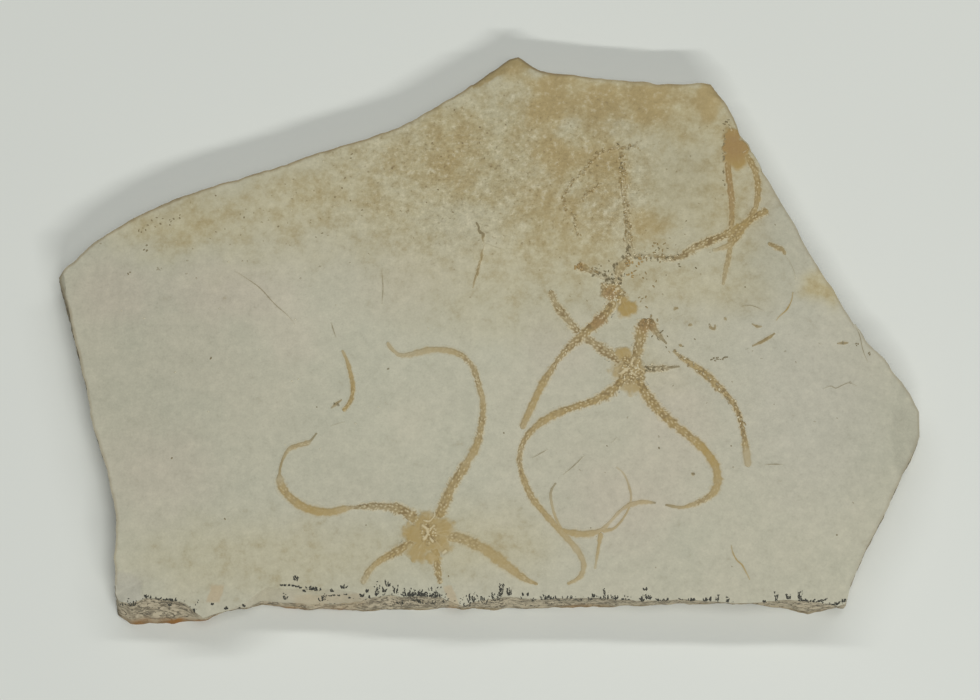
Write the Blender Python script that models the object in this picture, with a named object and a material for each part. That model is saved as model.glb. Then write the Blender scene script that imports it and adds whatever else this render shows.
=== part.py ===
"""Brittle star fossil plate.

A broken slab of fine-grained lithographic limestone lies on its flat back face.  Four brittle stars and
five loose pieces of arm are fossilised in its upper bedding face.  Each fossil is a low solid of its own,
seated in a pocket of its own shape and standing a little proud of the stone.

Lengths in the lists below are millimetres.  +X runs along the slab's longest extent, +Y towards its
peak and +Z up from the underside.  The origin is the middle of the slab's box, on the underside.
"""
import math

import bpy
import bmesh
import numpy as np

MM = 0.001

# the slab
THICKNESS = 11.0
LEVELS = ((1.0, 0.0), (0.64, 0.35), (0.3, 0.8), (0.0, 1.0))   # (share of height, share of flare)
HACKLE = 0.22                # how far the broken edge wanders in and out between top and underside
HACKLE_SEED = 11

# the fossils
RELIEF = 0.45                # height of an arm above the stone
TAPER = 0.35                 # share of that height lost between the disc and the tip
SIDE_HEIGHT = 0.1            # height of an arm's two edges above the stone
RIDGE = 0.5                  # share of an arm's width that is its flat back
THINNEST = 0.05              # the edges stay this far from the floor and from the back
ROOT = 0.7                   # depth of an arm below the stone
LOBE_STEP = 12               # degrees between the corners of a disc's outline
DISC_PROFILE = ((1.0, 0.1), (0.82, 0.6), (0.4, 0.7), (0.12, 0.35))   # (share of the outline, height)
CLEARANCE = 0.3              # gap between a fossil and its pocket, all round
CROSSING_GAP = 0.15          # each of two crossing arms stays this far from the stone's face
ARM_STEP = 2.4               # length of one straight run of an arm
FLOOR_STEP = 0.02            # neighbouring arms differ this much in depth, so no two floors are level
POCKET_TOP = 2.0             # the pocket cutters reach this far above the stone

# top rim of the slab, clockwise from its left tip: x, y, and how far the base stands out (+) or is
# undercut (-) below that place
OUTLINE = (
    (-103.4, 13.9, 0.4), (-101.4, 16.3, -1.0), (-94.8, 22.5, -1.6), (-85.3, 28.7, -1.4),
    (-75.7, 33.4, -1.0), (-72.1, 34.7, -0.6), (-64.8, 37.2, -1.8), (-60.7, 38.2, -1.4),
    (-56.4, 39.9, -0.6), (-52.3, 40.9, -1.0), (-47.9, 42.7, -1.8), (-38.2, 46.1, -0.8),
    (-29.7, 48.8, -2.0), (-21.2, 52.0, -0.6), (-15.2, 55.3, -1.8), (-4.2, 62.2, -1.4),
    (0.7, 66.4, -1.0), (5.6, 69.8, -1.0), (7.6, 70.4, -1.2), (12.9, 66.6, -1.4),
    (15.9, 65.8, -1.8), (25.2, 64.8, -0.6), (28.8, 64.1, -1.0), (38.6, 63.5, -2.0),
    (42.3, 62.7, -1.4), (54.8, 63.2, -1.2), (58.6, 57.3, -1.6), (60.7, 52.6, -1.0),
    (61.6, 49.7, -1.4), (63.5, 47.5, -1.0), (65.6, 42.9, -1.4), (74.5, 26.8, -1.0),
    (76.1, 22.7, -0.6), (80.3, 15.4, -1.6), (84.5, 8.6, -0.8), (86.1, 5.3, -1.2),
    (88.0, 2.2, -1.0), (89.6, 0.3, -0.8), (91.2, -2.7, -1.2), (95.4, -7.1, -1.0),
    (97.3, -10.4, -0.8), (101.4, -15.4, -0.2), (103.5, -19.2, 0.2), (103.3, -25.6, 0.2),
    (102.2, -28.9, 0.0), (98.7, -35.6, -0.2), (95.4, -43.0, -0.3), (91.2, -50.8, -0.2),
    (87.3, -59.1, -0.2), (85.7, -62.7, 0.0), (85.1, -65.6, 0.2), (84.4, -67.0, -1.8),
    (82.8, -67.6, -1.9), (80.7, -66.9, -0.9), (76.4, -66.3, 0.7), (70.3, -66.1, -0.4),
    (63.9, -66.8, -2.2), (57.3, -66.7, -2.2), (46.7, -65.9, -1.3), (36.1, -66.2, -1.1),
    (26.7, -65.6, -0.4), (12.5, -65.8, -0.1), (5.4, -65.3, 0.5), (2.6, -65.5, 0.6),
    (-2.8, -66.5, -0.8), (-5.4, -67.4, -1.6), (-7.6, -66.9, -1.2), (-11.6, -65.2, 0.8),
    (-15.8, -64.9, 1.1), (-20.1, -65.3, 0.7), (-22.9, -64.7, 1.4), (-29.6, -65.7, 0.8),
    (-36.0, -65.9, 0.2), (-44.3, -65.5, 0.8), (-53.3, -65.9, -1.3), (-56.0, -67.5, -2.1),
    (-61.8, -68.7, -2.5), (-66.9, -70.4, -1.9), (-71.2, -66.9, 2.4), (-73.6, -66.1, 3.7),
    (-80.5, -65.3, 3.9), (-84.5, -66.2, 3.3), (-86.7, -65.8, 2.1), (-87.7, -64.2, 0.6),
    (-88.0, -61.7, 0.2), (-87.9, -59.1, 0.0), (-88.3, -55.9, -0.2), (-87.8, -46.7, -0.3),
    (-88.4, -43.0, -0.3), (-90.6, -33.9, -0.3), (-94.2, -23.3, -0.2), (-95.9, -14.2, 0.1),
    (-100.6, 5.7, 0.8),
)

# flakes broken off the upper rim: the crease where each starts, the way it falls, and its fall per mm
CHIPS = (
    ("left_tip", (-1.0, -0.1), 1.3,
     ((-101.9, 17.0), (-101.5, 13.9), (-101.0, 10.8), (-100.4, 7.3), (-99.6, 3.3), (-99.0, 0.4))),
    ("peak", (0.0, 1.0), 0.5,
     ((-3.6, 61.6), (0.0, 63.0), (2.9, 64.8), (5.8, 67.4), (7.8, 67.8), (10.5, 66.8), (13.4, 65.8))),
    ("upper_corner", (0.8, 0.6), 0.5,
     ((52.4, 63.6), (54.2, 60.4), (56.4, 59.3), (57.6, 58.4))),
    ("right_end", (1.0, 0.0), 0.38,
     ((98.8, -12.9), (97.8, -15.7), (96.6, -18.4), (96.0, -23.3), (96.1, -27.8), (96.5, -32.0),
      (97.3, -34.9), (99.0, -36.6))),
    ("front", (0.0, -1.0), 1.9,
     ((-27.0, -65.8), (-31.9, -64.0), (-35.9, -63.5), (-41.8, -63.4), (-47.7, -63.3), (-52.2, -62.9),
      (-54.3, -64.4), (-56.6, -66.4), (-59.2, -67.6), (-62.5, -69.2))),
    ("lower_left", (-0.9, -0.44), 0.28,
     ((-79.0, -66.2), (-81.1, -64.6), (-81.2, -61.2), (-82.7, -59.8), (-84.9, -59.1), (-89.0, -58.6))),
)
CHIP_REACH = 9.0             # a flake's cutter runs this far past its crease
CHIP_TOP = 3.0

# stars: the disc's centre, radius, lobe height and first lobe's bearing in degrees, then the arms, each
# with its width at the disc and at the tip, and the points that its middle line passes through
STARS = {
    "star_lower_left": {
        "disc": ((-14.0, -49.8), 4.7, 0.8, 96.0),
        "arms": (
            (2.4, 0.9, ((-12.9, -48.0), (-11.9, -46.2), (-10.2, -43.0), (-8.1, -38.1), (-5.0, -32.9),
                        (-2.6, -28.5), (-1.2, -22.1), (-1.0, -17.6), (-1.7, -14.4), (-2.9, -10.2),
                        (-4.6, -7.4), (-6.7, -5.8), (-9.6, -4.8), (-12.7, -4.6), (-16.1, -5.2),
                        (-18.7, -5.9), (-21.1, -5.9), (-23.1, -4.2), (-24.0, -2.7))),
            (2.4, 0.8, ((-16.0, -47.8), (-18.0, -45.7), (-20.7, -44.0), (-23.5, -43.4), (-27.8, -43.4),
                        (-32.5, -43.7), (-36.6, -44.6), (-40.1, -44.6), (-43.5, -43.5), (-46.3, -41.5),
                        (-48.5, -39.1), (-49.4, -35.9), (-48.8, -32.2), (-47.2, -29.3), (-44.8, -28.3),
                        (-42.5, -27.5), (-40.6, -25.3))),
            (2.2, 1.3, ((-15.8, -50.8), (-17.5, -51.8), (-19.9, -53.5), (-23.0, -55.2), (-25.8, -56.9),
                        (-28.1, -59.3), (-29.5, -62.2))),
            (2.2, 1.0, ((-13.4, -51.2), (-12.8, -52.7), (-12.1, -55.4), (-11.7, -58.3), (-11.1, -62.2))),
            (2.4, 1.2, ((-12.0, -50.2), (-10.0, -50.6), (-6.6, -51.0), (-3.3, -52.3), (0.0, -54.2),
                        (3.3, -56.7), (6.6, -59.3), (9.4, -61.2), (12.0, -62.3))),
        ),
    },
    "star_centre": {
        "disc": ((34.0, -9.4), 4.2, 0.6, 100.0),
        "arms": (
            (2.2, 1.0, ((32.6, -8.2), (31.2, -6.9), (28.3, -4.9), (25.7, -3.1), (23.0, -1.2),
                        (20.7, 1.2), (18.3, 4.2), (16.4, 7.1), (15.2, 10.3))),
            (2.3, 2.0, ((34.9, -7.8), (35.7, -6.2), (36.5, -3.2), (37.2, 0.0), (38.2, 3.1))),
            (2.0, 0.8, ((38.2, 2.8), (39.4, 1.8), (40.4, 0.0), (41.8, -1.7), (43.2, -3.2))),
            (1.8, 0.7, ((35.5, -9.4), (37.1, -9.4), (40.2, -9.4), (43.4, -9.1), (46.2, -8.8))),
            (2.4, 0.8, ((33.4, -10.7), (32.8, -11.9), (30.6, -14.2), (28.2, -16.0), (25.3, -17.5),
                        (22.2, -18.5), (18.9, -19.6), (15.5, -21.1), (12.2, -23.3), (9.8, -25.7),
                        (8.2, -28.8), (7.7, -32.2), (8.3, -35.4), (9.5, -38.8), (11.2, -42.0),
                        (13.5, -44.9), (16.1, -47.9), (18.7, -50.8), (21.3, -54.0), (22.8, -57.1),
                        (22.4, -59.8), (21.0, -61.2), (18.9, -62.2))),
            (2.5, 0.8, ((35.0, -10.8), (35.9, -12.2), (37.8, -15.4), (40.1, -18.6), (43.5, -22.1),
                        (47.2, -25.3), (50.5, -28.1), (53.1, -31.2), (54.7, -34.7), (54.7, -38.1),
                        (53.0, -40.8), (49.9, -42.5), (46.3, -43.6), (42.3, -43.0))),
            (1.0, 1.4, ((40.1, -42.5), (37.0, -42.3), (33.9, -43.0), (31.6, -44.5), (29.2, -47.1),
                        (26.8, -49.3), (23.2, -50.1), (20.1, -49.8), (17.5, -49.1))),
            (0.9, 0.6, ((27.2, -49.3), (29.9, -48.8), (32.0, -46.7), (33.7, -43.7), (34.2, -40.8),
                        (33.5, -37.6), (32.4, -35.2), (30.7, -33.7))),
            (0.8, 0.6, ((17.8, -49.3), (16.6, -46.9), (15.7, -44.2), (15.1, -40.8), (15.4, -39.1),
                        (16.4, -37.6))),
            (1.1, 0.7, ((27.0, -49.8), (26.5, -52.7), (26.0, -55.7), (25.5, -58.6))),
        ),
        "under": (((22.9, -1.2), 2.6, 4.6),),
    },
    "star_upper": {
        "disc": ((32.0, 9.1), 4.4, 0.7, 280.0),
        "arms": (
            (2.2, 1.5, ((30.8, 7.5), (29.8, 6.1), (27.6, 3.3), (25.2, 1.1), (22.8, -1.2),
                        (19.9, -3.8), (17.2, -6.9), (15.1, -10.1), (13.2, -13.2), (11.5, -16.9),
                        (9.8, -20.6), (8.3, -24.3))),
            (1.9, 1.6, ((30.4, 11.8), (29.2, 13.1), (26.5, 14.5), (24.1, 15.6), (21.7, 16.6))),
            (2.0, 1.0, ((31.8, 11.8), (31.8, 15.1), (33.3, 17.4), (34.8, 19.4), (34.3, 22.5),
                        (34.1, 26.5), (33.7, 31.1), (33.1, 35.7), (33.0, 40.8), (32.3, 46.7))),
            (1.8, 1.6, ((34.3, 18.4), (36.2, 18.9), (38.9, 18.9), (41.5, 18.7), (43.9, 18.3),
                        (46.8, 18.8), (49.5, 20.6), (52.7, 22.2), (56.1, 23.6), (59.3, 25.1),
                        (62.4, 27.0), (65.4, 29.1), (68.1, 30.5))),
        ),
        "over": (((22.9, -1.2), 2.6, 4.6), ((61.5, 26.4), 6.0, 8.0)),
    },
    "star_edge": {
        "plate": ((58.2, 52.9), (60.5, 52.5), (61.4, 49.5), (63.2, 47.4), (64.2, 45.2), (64.7, 43.9),
                  (62.9, 42.2), (61.5, 41.2), (59.8, 41.6), (57.8, 42.1), (57.5, 44.9), (57.8, 47.7),
                  (57.7, 50.8)),
        "arms": (
            (1.8, 0.8, ((58.8, 44.4), (58.6, 40.3), (59.0, 36.7), (59.3, 32.6), (59.3, 28.8),
                        (59.0, 25.3), (58.7, 21.5), (58.2, 17.9), (57.4, 14.6), (56.9, 11.6))),
            (1.7, 0.7, ((62.6, 45.1), (65.0, 41.8), (66.0, 39.0), (66.3, 35.7), (65.9, 32.4),
                        (64.7, 29.6), (62.7, 26.8), (60.7, 24.2), (58.7, 21.8), (56.0, 20.7),
                        (54.4, 20.4))),
        ),
        "under": (((63.0, 27.0), 5.0, 7.0), ((59.2, 25.1), 2.6, 4.5)),
    },
}

# loose pieces of arm: width at either end, and the middle line
LOOSE_ARMS = {
    "arm_piece_right": (1.3, 1.7, ((44.6, -4.9), (47.0, -6.9), (49.6, -8.7), (52.5, -10.9), (55.3, -13.8),
                                   (58.1, -16.8), (60.0, -20.4), (61.1, -24.8), (61.7, -29.3),
                                   (62.2, -33.7))),
    "arm_tip_right": (0.7, 0.9, ((63.6, -3.8), (65.8, -2.7), (67.5, -1.7), (69.2, -0.5))),
    "arm_scrap_right": (0.8, 0.8, ((67.9, 22.2), (69.8, 21.2), (71.5, 20.4), (72.0, 19.2))),
    "arm_piece_left": (0.8, 0.9, ((-34.8, -4.7), (-33.6, -7.4), (-32.6, -10.9), (-32.1, -14.7),
                                  (-32.8, -17.6), (-34.4, -19.9))),
    "arm_piece_upper_left": (0.7, 0.7, ((-2.7, 27.5), (-1.2, 25.0), (-0.8, 22.2), (-1.5, 18.4),
                                        (-2.4, 14.9), (-3.4, 10.8))),
}

SHARP_ANGLE = math.radians(30)

# colour, roughness
STONE = ((0.42, 0.41, 0.33, 1.0), 0.75)
FOSSIL = ((0.35, 0.26, 0.13, 1.0), 0.6)


def material(name, finish):
    """A plain Principled material."""
    colour, roughness = finish
    made = bpy.data.materials.new(name)
    made.use_nodes = True
    shader = made.node_tree.nodes["Principled BSDF"]
    shader.inputs["Base Color"].default_value = colour
    shader.inputs["Roughness"].default_value = roughness
    shader.inputs["Metallic"].default_value = 0.0
    made.diffuse_color = colour
    return made


def solid(name, vertices, faces):
    """A closed mesh object from millimetre points, with its faces turned outwards."""
    mesh = bpy.data.meshes.new(name)
    work = bmesh.new()
    made = [work.verts.new([value * MM for value in vertex]) for vertex in vertices]
    for face in faces:
        work.faces.new([made[index] for index in face])
    bmesh.ops.recalc_face_normals(work, faces=work.faces)
    work.to_mesh(mesh)
    work.free()
    thing = bpy.data.objects.new(name, mesh)
    bpy.context.scene.collection.objects.link(thing)
    return thing


def skin_rings(name, rings):
    """Rings of equal point counts skinned one to the next, with a flat cap on the first and the last."""
    count = len(rings[0])
    vertices = [point for ring in rings for point in ring]
    faces = []
    for lower in range(0, len(vertices) - count, count):
        for index in range(count):
            beside = (index + 1) % count
            faces.append((lower + index, lower + beside, lower + count + beside, lower + count + index))
    faces.append(tuple(range(count)))
    faces.append(tuple(range(len(vertices) - count, len(vertices))))
    return solid(name, vertices, faces)


def combine(target, tool, operation):
    """Apply an exact Boolean of the tool to the target, and delete the tool."""
    change = target.modifiers.new(operation, "BOOLEAN")
    change.operation = operation
    change.solver = "EXACT"
    change.object = tool
    before = target.data
    evaluated = target.evaluated_get(bpy.context.evaluated_depsgraph_get())
    after = bpy.data.meshes.new_from_object(evaluated)
    target.modifiers.clear()
    target.data = after
    bpy.data.meshes.remove(before)
    bpy.data.objects.remove(tool)


def outward_normals(points):
    """The outward normal at each corner of a closed outline that runs clockwise."""
    along = np.roll(points, -1, axis=0) - np.roll(points, 1, axis=0)
    along /= np.linalg.norm(along, axis=1)[:, None]
    return np.stack([-along[:, 1], along[:, 0]], axis=1)


def limestone_slab():
    """The slab: rings of its outline from top to underside, with the flakes cut from the upper rim."""
    outline = np.array(OUTLINE)
    rim, flare = outline[:, :2], outline[:, 2:]
    normals = outward_normals(rim)
    wander = np.random.default_rng(HACKLE_SEED)
    rings = []
    for height, share in LEVELS:
        hackle = wander.uniform(-HACKLE, HACKLE, (len(rim), 1)) if 0.0 < height < 1.0 else 0.0
        ring = rim + normals * (flare * share + hackle)
        rings.append([(x, y, THICKNESS * height) for x, y in ring])
    slab = skin_rings("limestone_slab", rings)
    for name, fall, slope, crease in CHIPS:
        combine(slab, chip_cutter(name, np.array(fall), slope, np.array(crease)), "DIFFERENCE")
    return slab


def chip_cutter(name, fall, slope, crease):
    """A wedge over a flake scar: its floor leaves the rim at the crease and falls away outwards."""
    fall = fall / np.linalg.norm(fall)
    outer = crease + fall * CHIP_REACH
    drop = THICKNESS - slope * CHIP_REACH
    roof = THICKNESS + CHIP_TOP
    rings = []
    for (x_in, y_in), (x_out, y_out) in zip(crease, outer):
        rings.append([(x_in, y_in, THICKNESS), (x_out, y_out, drop),
                      (x_out, y_out, roof), (x_in, y_in, roof)])
    return skin_rings(name + "_cutter", rings)


def smooth_line(points, step):
    """Points about a step apart on a Catmull-Rom curve through the given ones."""
    points = np.array(points)
    padded = np.vstack([2 * points[0] - points[1], points, 2 * points[-1] - points[-2]])
    line = [points[0]]
    for before, start, end, after in zip(padded, padded[1:], padded[2:], padded[3:]):
        runs = max(1, round(float(np.linalg.norm(end - start)) / step))
        for t in np.arange(1, runs + 1) / runs:
            line.append(0.5 * (2 * start + (end - before) * t
                               + (2 * before - 5 * start + 4 * end - after) * t ** 2
                               + (3 * start - before - 3 * end + after) * t ** 3))
    return np.array(line)


def nearness(place, crossings):
    """1 on a crossing, falling to 0 at the end of its reach."""
    near = 0.0
    for centre, full, reach in crossings:
        distance = math.dist(place, centre)
        near = max(near, min(1.0, (reach - distance) / (reach - full)))
    return near


def arm(name, widths, points, step=0.0, under=(), over=(), clearance=0.0):
    """A tapering low-roofed bar along the line; with a clearance, the cutter for its pocket instead.

    Its floor and its back are a step lower than another arm's, so that no two faces are level.  Where
    arms cross, the lower one keeps its back below the stone's face and the upper one its belly above it.
    """
    line = smooth_line(points, ARM_STEP)
    along = np.gradient(line, axis=0)
    along /= np.linalg.norm(along, axis=1)[:, None]
    line[0] -= along[0] * clearance
    line[-1] += along[-1] * clearance
    across = np.stack([-along[:, 1], along[:, 0]], axis=1)
    rings = []
    for share, place, side in zip(np.linspace(0, 1, len(line)), line, across):
        half = (widths[0] + (widths[1] - widths[0]) * share) / 2
        dip = nearness(place, under)
        lift = nearness(place, over)
        back = RELIEF * (1.0 - TAPER * share) - step
        back += (-CROSSING_GAP - back) * dip
        edge = min(SIDE_HEIGHT, back - THINNEST)
        floor = -ROOT + step
        floor += (CROSSING_GAP - floor) * lift
        edge = max(edge, floor + THINNEST)
        if clearance:
            section = ((-1, floor - clearance), (1, floor - clearance), (1, POCKET_TOP), (-1, POCKET_TOP))
            half += clearance
        else:
            section = ((-1, floor), (1, floor), (1, edge), (RIDGE, back), (-RIDGE, back), (-1, edge))
        rings.append([(place[0] + side[0] * half * u, place[1] + side[1] * half * u, THICKNESS + z)
                      for u, z in section])
    return skin_rings(name, rings)


def lobed_outline(centre, radius, lobe, bearing, grow=0.0):
    """The outline of a five-lobed disc: its radius swells and shrinks five times in a turn."""
    turn = np.radians(np.arange(0, 360, LOBE_STEP))
    reach = radius + grow + lobe * np.cos(5 * (turn - math.radians(bearing)))
    return np.array(centre) + np.stack([np.cos(turn), np.sin(turn)], axis=1) * reach[:, None]


def disc(name, outline, clearance=0.0):
    """A low plate with a rounded shoulder and a mouth hollow; with a clearance, its pocket's cutter."""
    middle = outline.mean(axis=0)
    if clearance:
        levels = ((1.0, -ROOT - clearance - FLOOR_STEP), (1.0, POCKET_TOP + FLOOR_STEP))
    else:
        levels = ((1.0, -ROOT - FLOOR_STEP),) + DISC_PROFILE
    rings = []
    for scale, z in levels:
        rings.append([(x, y, THICKNESS + z) for x, y in middle + (outline - middle) * scale])
    return skin_rings(name, rings)


def star_disc(name, star, clearance=0.0):
    """The disc of a star: five-lobed, or the plate that the slab's edge has cut."""
    if "plate" in star:
        plate = np.array(star["plate"])
        return disc(name, plate + outward_normals(plate) * clearance, clearance)
    return disc(name, lobed_outline(*star["disc"], grow=clearance), clearance)


def brittle_star(name, star, clearance=0.0):
    """A star: the disc with its arms joined on, all one piece."""
    body = star_disc(name, star, clearance)
    for index, (root, tip, points) in enumerate(star["arms"]):
        limb = arm(name + "_arm", (root, tip), points, FLOOR_STEP * index,
                   star.get("under", ()), star.get("over", ()), clearance)
        combine(body, limb, "UNION")
    return body


def shade(thing, finish_material):
    """Give a piece its material and smooth shading with crisp edges kept."""
    thing.data.materials.clear()
    thing.data.materials.append(finish_material)
    thing.data.shade_smooth()
    thing.data.set_sharp_from_angle(angle=SHARP_ANGLE)


def main():
    for thing in list(bpy.data.objects):
        bpy.data.objects.remove(thing)

    slab = limestone_slab()
    pieces = []
    for name, star in STARS.items():
        combine(slab, brittle_star(name + "_pocket", star, CLEARANCE), "DIFFERENCE")
        pieces.append(brittle_star(name, star))
    for name, (start, end, points) in LOOSE_ARMS.items():
        combine(slab, arm(name + "_pocket", (start, end), points, clearance=CLEARANCE), "DIFFERENCE")
        pieces.append(arm(name, (start, end), points))

    shade(slab, material("limestone", STONE))
    for piece in pieces:
        shade(piece, material(piece.name, FOSSIL))

    # the origin is the middle of the slab's box
    corners = np.array([vertex.co for vertex in slab.data.vertices])
    middle = (corners.min(axis=0) + corners.max(axis=0)) / 2
    for thing in [slab] + pieces:
        thing.location = (-middle[0], -middle[1], 0.0)


main()
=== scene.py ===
"""A brittle star fossil plate: the looks of a limestone slab and of the fossils that lie in its face.

Shapes are worked out in millimetres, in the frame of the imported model, and put into their meshes in metres.
"""
import math

import bpy
import numpy as np
from mathutils.bvhtree import BVHTree
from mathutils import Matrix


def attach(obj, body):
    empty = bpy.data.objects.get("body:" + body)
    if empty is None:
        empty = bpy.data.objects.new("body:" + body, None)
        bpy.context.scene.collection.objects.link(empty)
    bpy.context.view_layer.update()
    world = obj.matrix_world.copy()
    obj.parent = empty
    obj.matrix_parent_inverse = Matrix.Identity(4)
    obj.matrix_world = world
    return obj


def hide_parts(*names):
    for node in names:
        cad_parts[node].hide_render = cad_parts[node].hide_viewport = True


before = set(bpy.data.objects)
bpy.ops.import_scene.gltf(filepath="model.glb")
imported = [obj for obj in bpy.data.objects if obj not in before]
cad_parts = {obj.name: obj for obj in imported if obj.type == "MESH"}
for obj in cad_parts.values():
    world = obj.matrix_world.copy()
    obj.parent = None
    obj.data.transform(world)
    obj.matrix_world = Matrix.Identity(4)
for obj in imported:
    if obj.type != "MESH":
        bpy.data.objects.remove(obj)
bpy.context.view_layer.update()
MM = 0.001

# ---- The view and the light -------------------------------------------------------------------------------
# The plate lies on a matt white table.  A camera on a long lens looks down on it, a little from the front.
# A long tube lamp shines from the front, another from behind, and a soft lamp hangs over the plate.

CAMERA_TILT = math.radians(16.0)
CAMERA_DISTANCE = 1.0
FIELD_WIDTH = 0.2352         # what the camera sees from side to side at the height of AIM
AIM = (0.0007, -0.0047, 0.011)
SENSOR = 36.0

lens = bpy.data.cameras.new("camera")
lens.sensor_width = SENSOR
lens.lens = SENSOR * CAMERA_DISTANCE / FIELD_WIDTH
lens.clip_start = 0.01
camera = bpy.data.objects.new("camera", lens)
camera.location = (AIM[0], AIM[1] - CAMERA_DISTANCE * math.sin(CAMERA_TILT),
                   AIM[2] + CAMERA_DISTANCE * math.cos(CAMERA_TILT))
camera.rotation_euler = (CAMERA_TILT, 0.0, 0.0)
bpy.context.scene.collection.objects.link(camera)
bpy.context.scene.camera = camera
bpy.context.scene.view_settings.view_transform = "Standard"


def lamp(name, place, width, depth, watts):
    """A rectangular lamp, width metres from left to right, tipped to face the line of the plate."""
    light = bpy.data.lights.new(name, "AREA")
    light.shape = "RECTANGLE"
    light.size = width
    light.size_y = depth
    light.energy = watts
    made = bpy.data.objects.new(name, light)
    made.location = place
    made.rotation_euler = (math.atan2(-place[1], place[2]), 0.0, 0.0)
    bpy.context.scene.collection.objects.link(made)


lamp("front_tube", (0.33, -1.09, 1.0), 0.85, 0.05, 9.4)
lamp("back_tube", (0.11, 0.65, 1.0), 1.9, 0.11, 5.3)
lamp("overhead_lamp", (0.12, -0.20, 1.1), 0.45, 0.45, 3.3)

CEILING = (0.096, 0.098, 0.093, 1.0)
room = bpy.data.worlds.new("room")
room.use_nodes = True
room.node_tree.nodes["Background"].inputs["Color"].default_value = CEILING
bpy.context.scene.world = room


class Level:
    """A shader socket that grows Math nodes when it is added, subtracted or multiplied in Python."""

    def __init__(self, finish, socket):
        self.finish = finish
        self.socket = socket

    def maths(self, operation, first, second, clamp=False):
        """A Math node of two inputs, each a socket or a number."""
        return self.finish.node("ShaderNodeMath", {"operation": operation, "use_clamp": clamp},
                                {0: first, 1: second})

    def __add__(self, other):
        return self.maths("ADD", self, other)

    __radd__ = __add__

    def __sub__(self, other):
        return self.maths("SUBTRACT", self, other)

    def __rsub__(self, other):
        return self.maths("SUBTRACT", other, self)

    def __mul__(self, other):
        return self.maths("MULTIPLY", self, other)

    __rmul__ = __mul__

    def held(self):
        """The value kept between 0 and 1."""
        return self.maths("ADD", self, 0.0, clamp=True)

    def step(self, low, high):
        """0 below low, 1 above high, and a smooth rise between them."""
        return self.finish.node("ShaderNodeMapRange", {"interpolation_type": "SMOOTHSTEP"},
                                {"Value": self, "From Min": low, "From Max": high})


class Finish:
    """A material whose nodes are added one call at a time."""

    def __init__(self, name, roughness):
        self.material = bpy.data.materials.new(name)
        self.material.use_nodes = True
        self.tree = self.material.node_tree
        self.shader = self.tree.nodes["Principled BSDF"]
        self.shader.inputs["Roughness"].default_value = roughness
        self.place = self.node("ShaderNodeTexCoord", output="Object")

    def node(self, kind, settings=None, inputs=None, output=0):
        """Add a node: its settings first, then values or links for its sockets; returns one output."""
        made = self.tree.nodes.new(kind)
        for name, value in (settings or {}).items():
            setattr(made, name, value)
        for name, value in (inputs or {}).items():
            self.feed(made.inputs[name], value)
        return Level(self, made.outputs[output])

    def feed(self, socket, value):
        """Link a node to a socket, or set the socket to a number or a colour."""
        if isinstance(value, Level):
            self.tree.links.new(value.socket, socket)
        else:
            socket.default_value = (*value, 1.0) if socket.type == "RGBA" else value

    def noise(self, size, detail=2.0, roughness=0.5, place=None):
        """Cloudy noise from 0 to 1 whose features are about size millimetres across."""
        return self.node("ShaderNodeTexNoise", None,
                         {"Vector": place or self.place, "Scale": 1 / (size * MM), "Detail": detail,
                          "Roughness": roughness})

    def attribute(self, name):
        """A number that the mesh carries at each of its points."""
        return self.node("ShaderNodeAttribute", {"attribute_name": name}, output="Fac")

    def mix(self, share, first, second):
        """The first colour where share is 0, the second where it is 1."""
        return self.node("ShaderNodeMix", {"data_type": "RGBA"}, {0: share, 6: first, 7: second}, output=2)

    def shaded(self, colour, factor):
        """A colour made lighter or darker by a factor."""
        return self.node("ShaderNodeVectorMath", {"operation": "SCALE"}, {0: colour, "Scale": factor})

    def bump(self, height, depth):
        """Relief from a height of 0 to 1, depth millimetres deep, into the Normal socket."""
        normal = self.node("ShaderNodeBump", None,
                           {"Height": height, "Distance": depth * MM, "Strength": 1.0})
        self.feed(self.shader.inputs["Normal"], normal)


def mesh_piece(name, points, faces, material, attributes=None, sharp=40.0):
    """A mesh object at the origin from millimetre points, with smooth faces, crisp creases and attributes."""
    mesh = bpy.data.meshes.new(name)
    mesh.from_pydata(points * MM, [], faces)
    for key, values in (attributes or {}).items():
        layer = mesh.attributes.new(key, "FLOAT", "POINT")
        layer.data.foreach_set("value", np.ascontiguousarray(values, dtype=np.float32))
    mesh.shade_smooth()
    mesh.set_sharp_from_angle(angle=math.radians(sharp))
    mesh.materials.append(material)
    piece = bpy.data.objects.new(name, mesh)
    bpy.context.scene.collection.objects.link(piece)
    return piece


TABLE_COLOUR = (0.755, 0.78, 0.73)
TABLE_SIZE = 3000.0

table_top = Finish("matt_white_table", roughness=0.8)
table_cloud = table_top.noise(60.0, detail=2.0)
table_top.feed(table_top.shader.inputs["Base Color"],
               table_top.shaded(TABLE_COLOUR, table_cloud * 0.03 + 0.985))
half = TABLE_SIZE / 2
table_corners = np.array([(-half, -half, 0.0), (half, -half, 0.0), (half, half, 0.0), (-half, half, 0.0)])
table = mesh_piece("table", table_corners, [(0, 1, 2, 3)], table_top.material)

# ---- The limestone slab -----------------------------------------------------------------------------------
# A slab of fine lithographic limestone, split along its bedding and broken roughly all round.  Flakes have
# come off its upper rim, its front face shows the layers, and iron and manganese have stained it.

THICKNESS = 11.0
LEVELS = ((1.0, 0.0), (0.64, 0.35), (0.3, 0.8), (0.0, 1.0))   # (share of height, share of flare)

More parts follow.
